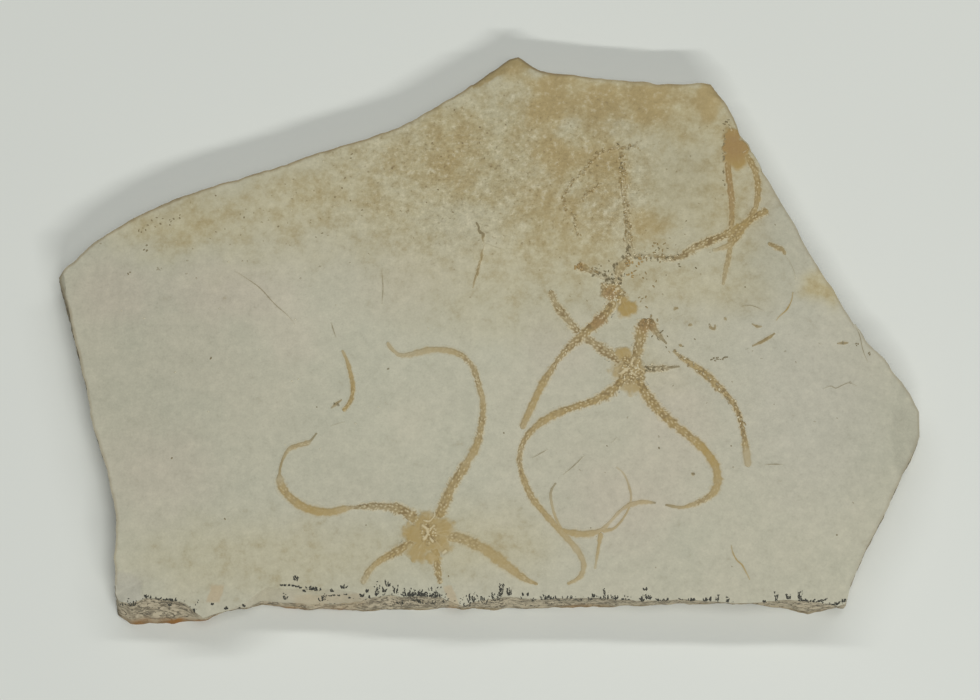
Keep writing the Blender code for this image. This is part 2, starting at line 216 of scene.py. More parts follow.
# top rim, clockwise from the left tip: x, y, and how far the base stands out (+) or is undercut (-) below
OUTLINE = (
    (-103.4, 13.9, 0.4), (-101.4, 16.3, -1.0), (-94.8, 22.5, -1.6), (-85.3, 28.7, -1.4),
    (-75.7, 33.4, -1.0), (-72.1, 34.7, -0.6), (-64.8, 37.2, -1.8), (-60.7, 38.2, -1.4),
    (-56.4, 39.9, -0.6), (-52.3, 40.9, -1.0), (-47.9, 42.7, -1.8), (-38.2, 46.1, -0.8),
    (-29.7, 48.8, -2.0), (-21.2, 52.0, -0.6), (-15.2, 55.3, -1.8), (-4.2, 62.2, -1.4),
    (0.7, 66.4, -1.0), (5.6, 69.8, -1.0), (7.6, 70.4, -1.2), (12.9, 66.6, -1.4),
    (15.9, 65.8, -1.8), (25.2, 64.8, -0.6), (28.8, 64.1, -1.0), (38.6, 63.5, -2.0),
    (42.3, 62.7, -1.4), (54.8, 63.2, -1.2), (58.6, 57.3, -1.6), (60.7, 52.6, -1.0),
    (61.6, 49.7, -1.4), (63.5, 47.5, -1.0), (65.6, 42.9, -1.4), (74.5, 26.8, -1.0),
    (76.1, 22.7, -0.6), (80.3, 15.4, -1.6), (84.5, 8.6, -0.8), (86.1, 5.3, -1.2),
    (88.0, 2.2, -1.0), (89.6, 0.3, -0.8), (91.2, -2.7, -1.2), (95.4, -7.1, -1.0),
    (97.3, -10.4, -0.8), (101.4, -15.4, -0.2), (103.5, -19.2, 0.2), (103.3, -25.6, 0.2),
    (102.2, -28.9, 0.0), (98.7, -35.6, -0.2), (95.4, -43.0, -0.3), (91.2, -50.8, -0.2),
    (87.3, -59.1, -0.2), (85.7, -62.7, 0.0), (85.1, -65.6, 0.2), (84.4, -67.0, -1.8),
    (82.8, -67.6, -1.9), (80.7, -66.9, -0.9), (76.4, -66.3, 0.7), (70.3, -66.1, -0.4),
    (63.9, -66.8, -2.2), (57.3, -66.7, -2.2), (46.7, -65.9, -1.3), (36.1, -66.2, -1.1),
    (26.7, -65.6, -0.4), (12.5, -65.8, -0.1), (5.4, -65.3, 0.5), (2.6, -65.5, 0.6),
    (-2.8, -66.5, -0.8), (-5.4, -67.4, -1.6), (-7.6, -66.9, -1.2), (-11.6, -65.2, 0.8),
    (-15.8, -64.9, 1.1), (-20.1, -65.3, 0.7), (-22.9, -64.7, 1.4), (-29.6, -65.7, 0.8),
    (-36.0, -65.9, 0.2), (-44.3, -65.5, 0.8), (-53.3, -65.9, -1.3), (-56.0, -67.5, -2.1),
    (-61.8, -68.7, -2.5), (-66.9, -70.4, -1.9), (-71.2, -66.9, 2.4), (-73.6, -66.1, 3.7),
    (-80.5, -65.3, 3.9), (-84.5, -66.2, 3.3), (-86.7, -65.8, 2.1), (-87.7, -64.2, 0.6),
    (-88.0, -61.7, 0.2), (-87.9, -59.1, 0.0), (-88.3, -55.9, -0.2), (-87.8, -46.7, -0.3),
    (-88.4, -43.0, -0.3), (-90.6, -33.9, -0.3), (-94.2, -23.3, -0.2), (-95.9, -14.2, 0.1),
    (-100.9, 5.7, 0.5),
)
# the four corners between which the face is stretched
LEFT_TIP, UPPER_CORNER, RIGHT_FOOT, LEFT_FOOT = (-103.4, 13.9), (54.8, 63.2), (84.4, -67.0), (-87.7, -64.2)

# flakes broken off the upper rim: the way each falls, its fall per mm, and the crease where it starts
CHIPS = {
    "left_tip": ((-1.0, -0.1), 1.3,
                 ((-102.4, 17.0), (-102.1, 13.9), (-101.6, 10.8), (-101.0, 7.3), (-100.2, 3.3),
                  (-99.5, 0.4))),
    "peak": ((0.0, 1.0), 0.5,
             ((-3.6, 61.6), (0.0, 63.0), (2.9, 64.8), (5.8, 67.4), (7.8, 67.8), (10.5, 66.8), (13.4, 65.8))),
    "upper_corner": ((0.8, 0.6), 0.5, ((52.4, 63.6), (54.2, 60.4), (56.4, 59.3), (57.6, 58.4))),
    "right_end": ((1.0, 0.0), 0.38,
                  ((98.8, -12.9), (97.8, -15.7), (96.6, -18.4), (96.0, -23.3), (96.1, -27.8), (96.5, -32.0),
                   (97.3, -34.9), (99.0, -36.6))),
    "front": ((0.0, -1.0), 1.9,
              ((-27.0, -65.8), (-31.9, -64.0), (-35.9, -63.5), (-41.8, -63.4), (-47.7, -63.3),
               (-52.2, -62.9), (-54.3, -64.4), (-56.6, -66.4), (-59.2, -67.6), (-62.5, -69.2))),
    "lower_left": ((-0.9, -0.44), 0.28,
                   ((-79.0, -66.2), (-81.1, -64.6), (-81.2, -61.2), (-82.7, -59.8), (-84.9, -59.1),
                    (-89.0, -58.6))),
}

LATTICE = 97                 # random heights each way, after which they repeat


def eased(t):
    """3t^2 - 2t^3."""
    return t * t * (3 - 2 * t)


def rise(value, low, high):
    """0 below low, 1 above high, and eased between them."""
    return eased(np.clip((value - low) / (high - low), 0.0, 1.0))


def fractal(x, y, size, seed, octaves=3):
    """Random relief of about -1 to 1: heights on a lattice of the given size, eased between its corners and
    summed over octaves of half the size and half the height."""
    total = np.zeros(np.broadcast(x, y).shape)
    weight = 1.0
    for octave in range(octaves):
        heights = np.random.default_rng(seed + octave).uniform(-1.0, 1.0, (LATTICE, LATTICE))
        u, v = np.asarray(x) / size, np.asarray(y) / size
        column, row = np.floor(u).astype(int), np.floor(v).astype(int)
        s, t = eased(u - column), eased(v - row)
        column, row, beside, above = (number % LATTICE for number in (column, row, column + 1, row + 1))
        total += weight * ((heights[column, row] * (1 - s) + heights[beside, row] * s) * (1 - t)
                           + (heights[column, above] * (1 - s) + heights[beside, above] * s) * t)
        weight *= 0.5
        size *= 0.5
    return total


def chip_depths(x, y):
    """How far each flake's floor lies below the bedding face: slope times the distance past its crease."""
    depths = {}
    for name, (fall, slope, crease) in CHIPS.items():
        fall, crease = np.array(fall) / math.hypot(*fall), np.array(crease)
        side = np.array([-fall[1], fall[0]])
        across, along = crease @ side, crease @ fall
        order = np.argsort(across)
        edge = np.interp(x * side[0] + y * side[1], across[order], along[order], left=np.inf, right=np.inf)
        depths[name] = slope * np.maximum(0.0, x * fall[0] + y * fall[1] - edge)
    return depths


# relief of the face and its size across: the bedding's slow swell, its fine skin, and ripples on the flakes
SWELL, SWELL_SIZE = 0.10, 45.0
SKIN, SKIN_SIZE = 0.025, 4.0
RIPPLE, RIPPLE_SIZE = 0.12, 2.2
HIGHEST = 0.2                # the bedding stands no higher than this above its level


def stone_face(x, y):
    """Height of the slab's upper face: level bedding with its swell and skin, less the deepest flake."""
    lowest = np.max(np.stack(list(chip_depths(x, y).values())), axis=0)
    swell = SWELL * fractal(x, y, SWELL_SIZE, 3) + SKIN * fractal(x, y, SKIN_SIZE, 13)
    ripple = RIPPLE * fractal(x, y, RIPPLE_SIZE, 23) * rise(lowest, 0.0, 0.4)
    return THICKNESS + np.minimum(swell, HIGHEST) - np.maximum(lowest - ripple, 0.0)


def spaced(count, near):
    """count + 1 shares from 0 to 1 whose steps shrink towards both ends, down to near of a full step:
    1 - (1 - near) x (exp(-steps from one end / 4) + exp(-steps from the other / 4))."""
    index = np.arange(count)
    steps = 1 - (1 - near) * (np.exp(-index / 4.0) + np.exp(-(count - 1 - index) / 4.0))
    return np.concatenate([[0.0], np.cumsum(steps)]) / steps.sum()


def flare_share(height):
    """The share of the base's flare that the side has reached at a share of the slab's height."""
    heights, shares = np.array(LEVELS)[::-1].T
    return np.interp(height, heights, shares)


RUNS = 2400                  # along each side of the rim
WANDER, WANDER_SIZE = 0.16, 2.6    # how far the rim wanders between the outline's points, and in what lengths
CORNER_HOLD = 2.0            # it doesn't wander this close to a corner of the face

even = spaced(RUNS, 1.0)


def rim_side(start, end, seed):
    """The rim from one corner to the next, at even shares of its length: for each the place where the face
    meets the flared side, the rim, its normal and its flare.  The rim is the outline + normal x wander, and
    the place is the rim + normal x flare x flare_share(height of the face there)."""
    outline = np.array(OUTLINE)
    places = [tuple(point[:2]) for point in OUTLINE]
    first, last = places.index(start), places.index(end)
    chain = outline[np.arange(first, last + 1 if last > first else last + 1 + len(outline)) % len(outline)]
    runs = np.hypot(*np.diff(chain[:, :2], axis=0).T)
    length = np.concatenate([[0.0], np.cumsum(runs)])
    at = even * length[-1]
    x, y, flare = (np.interp(at, length, chain[:, column]) for column in range(3))
    along = np.gradient(np.stack([x, y], axis=1), axis=0)
    along /= np.hypot(*along.T)[:, None]
    normal = np.stack([-along[:, 1], along[:, 0]], axis=1)
    ends = rise(np.minimum(at, length[-1] - at), 0.0, CORNER_HOLD)
    wander = ends * (WANDER * fractal(at, at * 0.0 + seed, WANDER_SIZE, seed))
    rim = np.stack([x, y], axis=1) + normal * wander[:, None]
    place = rim.copy()
    for _ in range(4):
        height = stone_face(*place.T) / THICKNESS
        place = rim + normal * (flare * flare_share(height))[:, None]
    return np.column_stack([place, rim, normal, flare])


def resampled(side, at):
    """A side's rows of numbers at other shares of its length."""
    return np.stack([np.interp(at, even, column) for column in side.T], axis=1)


back_side = rim_side(LEFT_TIP, UPPER_CORNER, 31)
right_side = rim_side(UPPER_CORNER, RIGHT_FOOT, 32)[::-1]
front_side = rim_side(RIGHT_FOOT, LEFT_FOOT, 33)[::-1]
left_side = rim_side(LEFT_FOOT, LEFT_TIP, 34)

COLUMNS = 240                # across the face
FINE = 3                     # columns of the front strip for each column of the face
STRIP_ROWS = 30              # fine rows along the front edge
STRIP_SHARE = 0.06           # of the way from the front edge to the back
ROWS = 165
EDGE_STEP = 0.35             # the rows and columns at the rim are this much closer together

rows = np.concatenate([np.linspace(0.0, STRIP_SHARE, STRIP_ROWS + 1),
                       STRIP_SHARE + (1 - STRIP_SHARE) * spaced(ROWS, EDGE_STEP)[1:]])
coarse = spaced(COLUMNS, EDGE_STEP)
fine = np.interp(np.arange(COLUMNS * FINE + 1) / FINE, np.arange(COLUMNS + 1), coarse)


def face_row(share, columns):
    """One row of the face: the four sides blended (a Coons patch), at one share of the way back."""
    u, v = columns[:, None], share
    front, back = resampled(front_side, columns), resampled(back_side, columns)
    left, right = resampled(left_side, [v]), resampled(right_side, [v])
    corners = ((1 - u) * (1 - v) * front_side[0] + u * (1 - v) * front_side[-1]
               + (1 - u) * v * back_side[0] + u * v * back_side[-1])
    return ((1 - v) * front + v * back + (1 - u) * left + u * right - corners)[:, :2]


plan = [face_row(share, fine if index <= STRIP_ROWS else coarse) for index, share in enumerate(rows)]
starts = np.concatenate([[0], np.cumsum([len(row) for row in plan])])
plan = np.vstack(plan)


def quads(lower, upper):
    """Faces between two rows of point numbers of equal length."""
    return np.stack([lower[:-1], lower[1:], upper[1:], upper[:-1]], axis=1)


faces = []
for index in range(len(rows) - 1):
    lower = np.arange(starts[index], starts[index + 1])
    upper = np.arange(starts[index + 1], starts[index + 2])
    if len(lower) == len(upper):
        faces += quads(lower, upper).tolist()
    else:
        # the front strip meets the plain rows: three of its runs to one of theirs, in four triangles
        one, two, three, four = lower[:-1:3], lower[1::3], lower[2::3], lower[3::3]
        this, following = upper[:-1], upper[1:]
        for corners in ((one, two, this), (two, three, this), (three, following, this),
                        (three, four, following)):
            faces += np.stack(corners, axis=1).tolist()

# the rim runs round the face: along the front, up the right, back along the top and down the left
row_first, row_last = starts[:-1], starts[1:] - 1
rim_points = np.concatenate([np.arange(starts[0], starts[1]), row_last[1:],
                             np.arange(row_last[-1] - 1, row_first[-1] - 1, -1), row_first[-2:0:-1]])
rim_facts = np.vstack([resampled(front_side, fine), resampled(right_side, rows[1:]),
                       resampled(back_side, coarse[-2::-1]), resampled(left_side, rows[-2:0:-1])])
edge_length = np.concatenate([[0.0], np.cumsum(np.hypot(*np.diff(plan[rim_points], axis=0).T))])

face_points = np.column_stack([plan, stone_face(*plan.T)])

SIDE_ROUNDING = 8.0          # the sides turn round the corners over this length
RIM_SAMPLES = 4000


def rounded(values, length, window):
    """Values along the closed rim, each averaged over a window of its length."""
    at = np.linspace(0, length[-1], RIM_SAMPLES, endpoint=False)
    count = int(window / at[1])
    kernel = np.ones(count) / count
    smooth = []
    for column in values.T:
        row = np.convolve(np.tile(np.interp(at, length, column), 3), kernel, "same")
        smooth.append(np.interp(length, at, row[RIM_SAMPLES:2 * RIM_SAMPLES]))
    return np.stack(smooth, axis=1)


# the sides: rings from the rim down to the base, hackly, with each bed standing in or out a little
RINGS = 16
BEDS = (0.0, 1.3, 2.9, 3.9, 5.2, 6.1, 7.6, 8.4, 9.7, 11.2)
LEDGE, LEDGE_SIZE = 0.22, 9.0      # how far a bed stands in or out, and over what length
NEXT_BED = 40                      # from the circle that one bed's ledge is read on to the next bed's
ROUGH, ROUGH_SIZE = 0.16, 3.0      # the same for the broken skin
SETBACK = 0.08                     # of the whole side
rim_height = face_points[rim_points, 2]
normal = rounded(rim_facts[:, 4:6], edge_length, SIDE_ROUNDING)
normal /= np.hypot(*normal.T)[:, None]
round_trip = edge_length / edge_length[-1] * 2 * math.pi


def hackle(height):
    """How far the broken side stands out at a height: ledge of the bed there + rough skin - setback.  Both
    are read round a circle as long as the rim, so that they close; each bed has a circle of its own."""
    loops = np.stack([np.cos(round_trip), np.sin(round_trip)]) * edge_length[-1] / (2 * math.pi)
    bed = np.searchsorted(BEDS, height)
    ledge = LEDGE * fractal(loops[0] + NEXT_BED * bed, loops[1], LEDGE_SIZE, 41, 2)
    rough = ROUGH * fractal(loops[0] + 7.3 * height, loops[1] - 5.1 * height, ROUGH_SIZE, 43)
    return ledge + rough - SETBACK


ring_points = [face_points]
below = rim_points
for ring in range(1, RINGS + 1):
    height = rim_height * (1 - ring / RINGS)
    away = flare_share(height / THICKNESS) * rim_facts[:, 6]
    hold = np.minimum(1.0, ring / 3)
    spot = rim_facts[:, 2:4] + normal * (away + hackle(height) * hold)[:, None]
    ring_points.append(np.column_stack([spot, height]))
    here = np.arange(len(spot)) + starts[-1] + (ring - 1) * len(spot)
    faces += np.stack([here, np.roll(here, -1), np.roll(below, -1), below], axis=1).tolist()
    below = here
centre = starts[-1] + RINGS * len(rim_points)
faces += np.stack([np.full(len(below), centre), np.roll(below, -1), below], axis=1).tolist()
slab_points = np.vstack(ring_points + [np.array([[0.0, 0.0, 0.0]])])
on_side = np.arange(len(slab_points)) >= starts[-1]


# stains on the bedding face: middle, reach along x and y, and strength
YELLOWED = (
    ((12.0, 42.0), (33.0, 27.0), 0.52), ((-24.0, 40.0), (27.0, 15.0), 0.45),
    ((-58.0, 28.0), (30.0, 12.0), 0.29), ((-49.0, 33.0), (12.0, 8.0), 0.16),
    ((46.0, 57.0), (14.0, 9.0), 0.60), ((60.0, 40.0), (9.0, 22.0), 0.40), ((80.5, 11.0), (5.0, 4.5), 0.70),
    ((45.0, 22.0), (24.0, 14.0), 0.25), ((-50.0, -56.0), (36.0, 10.0), 0.26),
    ((40.0, -8.0), (9.0, 9.0), 0.14), ((26.0, 63.0), (17.0, 3.5), 0.40), ((8.0, 12.0), (36.0, 14.0), 0.24),
    ((47.0, 38.0), (10.0, 13.0), 0.45), ((1.0, 53.0), (8.0, 12.0), 0.30), ((0.0, -52.0), (17.0, 9.0), 0.28),
    ((5.0, 67.0), (5.0, 3.0), 0.60), ((-76.0, 27.0), (16.0, 6.5), 0.34), ((54.0, 9.0), (16.0, 6.0), 0.22),
    ((20.0, 24.0), (12.0, 8.0), 0.20), ((-21.0, 23.0), (12.0, 8.0), 0.18),
    ((-10.0, 52.5), (8.0, 5.0), 0.35), ((27.0, 43.0), (8.0, 8.0), 0.40), ((16.0, 63.5), (8.0, 2.5), 0.50),
)
OCHRE = (
    ((14.0, 56.5), (4.5, 8.0), 0.80), ((29.0, 59.0), (6.0, 4.5), 0.70), ((40.0, 58.5), (5.0, 4.5), 0.90),
    ((-8.0, 43.5), (5.0, 6.5), 0.30), ((17.0, 43.5), (6.0, 4.5), 0.60), ((29.0, 38.0), (5.0, 6.5), 0.50),
    ((25.0, 29.0), (8.0, 6.0), 0.35), ((53.4, 59.4), (3.8, 3.2), 1.0), ((-21.0, 42.0), (9.0, 5.0), 0.12),
    ((39.5, 27.0), (5.0, 5.0), 0.45), ((27.5, 53.5), (5.0, 4.0), 0.40), ((21.0, 57.0), (5.5, 5.0), 0.45),
    ((1.0, 66.5), (4.5, 1.8), 0.70), ((27.0, 44.5), (6.0, 4.0), 0.25), ((14.0, 33.5), (9.0, 5.0), 0.28),
    ((16.0, 64.0), (6.0, 1.6), 0.40),
)
CLEAN = (
    ((46.5, 38.0), (9.5, 11.5), 0.50), ((1.5, 55.0), (4.0, 6.0), 0.50), ((3.1, 41.0), (6.0, 8.0), 0.30),
    ((20.0, 49.0), (2.6, 2.4), 0.25), ((50.0, 52.5), (3.5, 3.0), 0.30), ((-88.0, 16.0), (5.0, 4.0), 0.60),
    ((52.0, 22.0), (8.0, 6.0), 0.40), ((-8.0, 27.0), (10.0, 6.5), 0.50), ((26.0, 34.0), (8.0, 9.0), 0.20),
    ((-21.0, 37.0), (6.0, 5.0), 0.22),
)
BLUSH = (
    ((32.0, -42.0), (14.0, 11.0), 0.9), ((46.0, -24.0), (9.0, 16.0), 0.8),
    ((-78.0, -36.0), (14.0, 12.0), 0.8), ((-90.0, 10.0), (9.0, 9.0), 0.9),
    ((-62.0, 10.0), (18.0, 7.0), 0.9), ((-46.0, -1.0), (7.0, 7.0), 0.6), ((17.0, -3.0), (8.0, 9.0), 0.6),
    ((66.0, 33.0), (6.0, 9.0), 0.6), ((-20.0, 12.0), (14.0, 10.0), 0.5),
)
GREYED = (((77.0, -18.0), (19.0, 26.0), 0.40), ((-82.0, -61.5), (5.0, 3.0), 0.30))
# where the face is duller (+) or brighter (-) than the rest
DULLED = (
    ((-80.0, -8.0), (24.0, 27.0), 0.8), ((47.0, 39.0), (9.5, 13.0), 1.0), ((30.0, 53.0), (12.0, 4.0), 0.8),
    ((-96.0, 12.0), (12.0, 10.0), 0.6), ((66.0, 25.0), (9.0, 11.0), 0.8), ((92.0, -20.0), (10.0, 20.0), 0.4),
    ((-22.0, -4.0), (20.0, 18.0), -0.5), ((3.0, -8.0), (8.0, 38.0), -0.4), ((-46.0, 8.0), (9.0, 18.0), -0.4),
    ((-20.0, -27.0), (16.0, 8.0), -0.4), ((64.0, 10.0), (8.0, 8.0), 0.6), ((75.0, 22.0), (5.0, 6.0), 0.6),
    ((-75.0, 31.0), (9.0, 4.0), 0.7),
)
PITTED = (
    ((-2.0, 42.0), (36.0, 22.0), 0.8), ((30.0, 36.0), (9.0, 14.0), 0.8), ((34.0, 58.0), (13.0, 7.0), 0.5),
    ((12.0, 58.0), (8.0, 7.0), 0.3),
)
RAGGED, RAGGED_SIZE = 1.8, 6.0     # how far the stains' borders stray, and in what lengths


def stained(x, y, patches):
    """Overlapping ragged spots: 1 - product of (1 - strength x exp(-r^3)), r in reaches from each middle."""
    left = np.ones(len(x))
    x, y = x + RAGGED * fractal(x, y, RAGGED_SIZE, 71), y + RAGGED * fractal(x, y, RAGGED_SIZE, 72)
    for (middle_x, middle_y), (reach_x, reach_y), strength in patches:
        r2 = ((x - middle_x) / reach_x) ** 2 + ((y - middle_y) / reach_y) ** 2
        left *= 1 - strength * np.exp(-r2 ** 1.5)
    return 1 - left


def stains(x, y):
    """The iron-stained, yellowed, pinkish, greyed, dulled and pitted share of the stone at each place."""
    yellow, clean = stained(x, y, YELLOWED), stained(x, y, CLEAN)
    ochre = (1 - (1 - 0.7 * yellow) * (1 - stained(x, y, OCHRE))) * (1 - clean)
    yellow = np.maximum(yellow * (1 - 0.4 * clean), ochre)
    return {"ochre": ochre, "yellow": yellow, "blush": stained(x, y, BLUSH), "grey": stained(x, y, GREYED),
            "dull": stained(x, y, DULLED), "pitted": stained(x, y, PITTED)}


def nearness(x, y, places):
    """1 within full of any place, 0 beyond reach."""
    near = np.zeros(np.shape(x))
    for (middle_x, middle_y), full, reach in places:
        near = np.maximum(near, 1 - rise(np.hypot(x - middle_x, y - middle_y), full, reach))
    return near


# the thin dark brown line along the rim: middle, reach and strength
RIM_LINE = (((-100.0, 5.0), 30.0, 0.5), ((-60.0, 40.0), 60.0, 0.8), ((5.0, 68.0), 30.0, 0.85),
            ((45.0, 64.0), 35.0, 0.55), ((85.0, 10.0), 70.0, 0.35), ((-90.0, -40.0), 40.0, 0.4))
LINE_WIDTH = (0.25, 0.8)     # it is full within the first of these distances and gone beyond the second
LINE_FRONT = -62.0           # there is none in front of this
OUTER_ROWS = 4               # rows of the face's points at the back that are near the rim
OUTER_COLUMNS = 12           # points near the rim at both ends of the other rows
LINE_SAMPLES = 3000
BATCH = 2000                 # points measured at a time

outer_ring = np.zeros(len(slab_points), bool)
for index in range(len(rows)):
    row = np.arange(starts[index], starts[index + 1])
    ends = np.concatenate([row[:OUTER_COLUMNS], row[-OUTER_COLUMNS:]])
    outer_ring[row if index >= len(rows) - OUTER_ROWS else ends] = True


def rim_line(x, y):
    """Strength of the thin brown line at each place: (1 - rise(distance to the rim)) x the greatest
    strength x exp(-(distance to its middle / reach)^4)."""
    turn = np.linspace(0, edge_length[-1], LINE_SAMPLES)
    rim = np.stack([np.interp(turn, edge_length, plan[rim_points, axis]) for axis in (0, 1)], axis=1)
    near = np.full(len(x), 9.0)
    beside = np.flatnonzero(outer_ring | on_side)
    for first in range(0, len(beside), BATCH):
        part = beside[first:first + BATCH]
        near[part] = np.min(np.hypot(x[part, None] - rim[:, 0], y[part, None] - rim[:, 1]), axis=1)
    line = 1 - rise(near + 0.12 * fractal(x, y, 1.5, 81), *LINE_WIDTH)
    strength = np.zeros(len(x))
    for (middle_x, middle_y), reach, share in RIM_LINE:
        away = np.hypot(x - middle_x, y - middle_y) / reach
        strength = np.maximum(strength, share * np.exp(-away ** 4))
    return line * strength * (y > LINE_FRONT)


# rust where water stood at the foot of the front: x, reach and strength
RUST = ((-82.5, 3.5, 0.7), (-74.5, 3.5, 1.0), (-67.5, 3.0, 0.8), (-46.5, 4.0, 0.45), (-35.5, 4.0, 0.45),
        (-8.5, 1.2, 0.5), (22.0, 5.0, 0.3))
# tan panes on the face: middle, reach, slant and strength
TAN = (((-64.1, -64.5), (1.6, 2.2), 0.3, 0.55), ((-37.5, -65.2), (9.0, 0.9), 0.0, 0.3),
       ((-8.5, -65.0), (1.1, 2.4), -0.4, 0.5), ((12.0, -67.0), (4.5, 1.0), 0.0, 0.5))
FRONT = -55.0                # the front side lies before this
# what marks the floor of each flake, and how strongly
CHIP_LOOKS = {"left_tip": ("ochre", 0.4), "peak": ("ochre", 0.9), "upper_corner": ("ochre", 0.4),
              "right_end": ("dull", 1.0), "front": ("blush", 0.9), "lower_left": ("grey", 0.6)}

facts = {"broken": on_side * 1.0, **stains(*slab_points[:, :2].T)}
facts["ochre"] = facts["ochre"] * (1 - on_side)
for name, depth in chip_depths(*slab_points[:, :2].T).items():
    look, strength = CHIP_LOOKS[name]
    facts[look] += (1 - facts[look]) * np.where(on_side, 0.0, rise(depth, 0.0, 0.35) * strength)
across, back, high = slab_points.T
facts["rust"] = np.zeros(len(across))
for middle, reach, strength in RUST:
    spread = strength * np.exp(-((across - middle) / reach) ** 2) * (1 - rise(high, 1.0, 4.0))
    facts["rust"] = np.maximum(facts["rust"], spread * on_side * (back < FRONT))
facts["tan"] = np.zeros(len(across))
for (middle_x, middle_y), (reach_x, reach_y), slant, strength in TAN:
    beyond = back - middle_y
    pane = np.maximum(np.abs(across - middle_x - slant * beyond) / reach_x, np.abs(beyond) / reach_y)
    pane = pane + 0.12 * fractal(across, back, 1.5, 83)
    facts["tan"] = np.maximum(facts["tan"], (1 - rise(pane, 0.8, 1.1)) * strength)
# the front side is painted darker brown towards its foot, in the colour of the rim line
foot = on_side * (back < FRONT) * (1 - rise(high, 0.3, 1.3)) * 0.7
facts["edge"] = np.maximum(rim_line(across, back) * (1 - 0.4 * on_side), foot)

STONE_GREEN = (0.490, 0.482, 0.368)
STONE_BEIGE = (0.515, 0.496, 0.378)
STONE_PINK = (0.530, 0.479, 0.375)
STONE_GREY = (0.49, 0.475, 0.40)
STONE_YELLOW = (0.488, 0.438, 0.268)
STONE_OCHRE = (0.420, 0.318, 0.138)
PALE_FLECK = (0.58, 0.53, 0.38)
BROWN_FLECK = (0.26, 0.19, 0.09)
BROKEN_PALE = (0.53, 0.46, 0.325)
BROKEN_DARK = (0.20, 0.165, 0.105)
CRACK_DARK = (0.10, 0.085, 0.055)
RUST_BROWN = (0.29, 0.135, 0.03)
TAN_STONE = (0.50, 0.38, 0.22)
RIM_BROWN = (0.25, 0.19, 0.095)


# sizes of what mottles the stone, from its clouds down to its grain
CLOUD, PATCH, MOTTLE, FLECK, GRAIN = 26.0, 5.0, 1.8, 0.9, 0.45
PIT = 1.2
PAINTED_PIT_LIGHT_SHIFT = (-0.10 * MM, 0.24 * MM, 0.0)     # painted light and shade: a pit's painted lit and shaded rims lie this far apart
BED, SEAM = 1.0, 2.4                         # heights of the beds and dark seams on the broken sides
DRAWN_OUT = (0.5, 0.5, 1.0)                  # they are twice as long as high
SEAM_WIDTH = 0.0016


def limestone(finish):
    """The stone's colour: clouds, stains, flecks and grain, layers on its broken sides, and painted light and
    shade at its pits.
    """
    cloud, patch = finish.noise(CLOUD, 3.0), finish.noise(PATCH, 5.0, 0.65)
    mottle, fleck = finish.noise(MOTTLE, 3.0, 0.6), finish.noise(FLECK, 3.0, 0.6)
    grain = finish.noise(GRAIN, 2.0)
    yellow, ochre, blush, grey, dull, pitted = (finish.attribute(name) for name in (
        "yellow", "ochre", "blush", "grey", "dull", "pitted"))
    broken, edge, tan, rust = (finish.attribute(name) for name in ("broken", "edge", "tan", "rust"))
    # the bedding face: clouds, then the stains, broken up by the mottling
    colour = finish.mix(cloud.step(0.32, 0.68), STONE_GREEN, STONE_BEIGE)
    colour = finish.mix((blush * 0.6 + (patch - 0.4) * 0.4).held(), colour, STONE_PINK)
    colour = finish.mix(grey, colour, STONE_GREY)
    colour = finish.mix((yellow * (2.7 - patch * 2.0)).held(), colour, STONE_YELLOW)
    iron = (ochre * 1.2 - patch * 1.3 - mottle * 0.8).step(-0.88, -0.02)
    colour = finish.mix((iron * 0.86).held(), colour, STONE_OCHRE)
    pale = mottle.step(0.52, 0.70) * fleck.step(0.38, 0.62)
    colour = finish.mix((pale * (pitted * 0.6 + 0.06)).held(), colour, PALE_FLECK)
    colour = finish.mix(((1 - fleck.step(0.28, 0.40)) * (pitted * 0.55 + 0.05)).held(), colour, BROWN_FLECK)
    # the broken sides: beds drawn out sideways, with dark seams where the noise crosses its middle
    squashed = finish.node("ShaderNodeMapping", None, {"Vector": finish.place, "Scale": DRAWN_OUT})
    layer = finish.noise(BED, 4.0, 0.6, squashed) * 0.35 + mottle * 0.3 + patch * 0.35
    beds = finish.mix(layer.step(0.375, 0.54), BROKEN_DARK, BROKEN_PALE)
    seam = finish.noise(SEAM, 4.0, 0.6, squashed) - 0.5
    beds = finish.mix(((1 - (seam * seam).step(0.0, SEAM_WIDTH)) * mottle * 1.5).held(), beds, CRACK_DARK)
    colour = finish.mix(broken, colour, beds)
    # what lies over both: the thin dark brown line along the rim and the darker foot of the front, the tan
    # panes and the rust
    colour = finish.mix((edge * (0.5 + fleck)).held(), colour, RIM_BROWN)
    colour = finish.mix(tan, colour, TAN_STONE)
    colour = finish.mix((rust * (patch * 2.0 + mottle - 0.5)).held(), colour, RUST_BROWN)
    # painted light and shade: each pit is painted lighter on one side and darker on the other, as if lit from
    # one side
    pit_shade_place = finish.node("ShaderNodeMapping", None, {"Vector": finish.place, "Location": PAINTED_PIT_LIGHT_SHIFT})
    pits = finish.noise(PIT, 4.0, 0.6) - finish.noise(PIT, 4.0, 0.6, pit_shade_place)
    rough = yellow * (patch * 0.5 - 0.25) + pitted * (mottle * 0.4 + fleck * 0.3 - 0.32)
    # the pits term below is painted light and shade; the other terms are the stone's own tone
    return finish.shaded(colour, 0.67 + patch * 0.27 + mottle * 0.26 + grain * 0.13 + rough * (1.1 - ochre)
                         + pits * mottle * (pitted + 0.12) - dull * 0.085)


stone = Finish("lithographic_limestone", roughness=0.78)
stone.feed(stone.shader.inputs["Base Color"], limestone(stone))
pits = stone.noise(1.3, 5.0, 0.72) * (stone.attribute("pitted") * 0.9 + 0.08)
stone.bump(stone.noise(0.5, 3.0, 0.6) * 0.1 + pits, 0.55)

slab = mesh_piece("limestone_plate", slab_points, faces, stone.material, facts)
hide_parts("limestone_slab")
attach(slab, "root")

# ---- The manganese shrubs ---------------------------------------------------------------------------------
# Manganese has grown into the stone from its front edge, in small black shrubs of round grains.  They are
# a film on the stone, on its face and on its broken front alike.

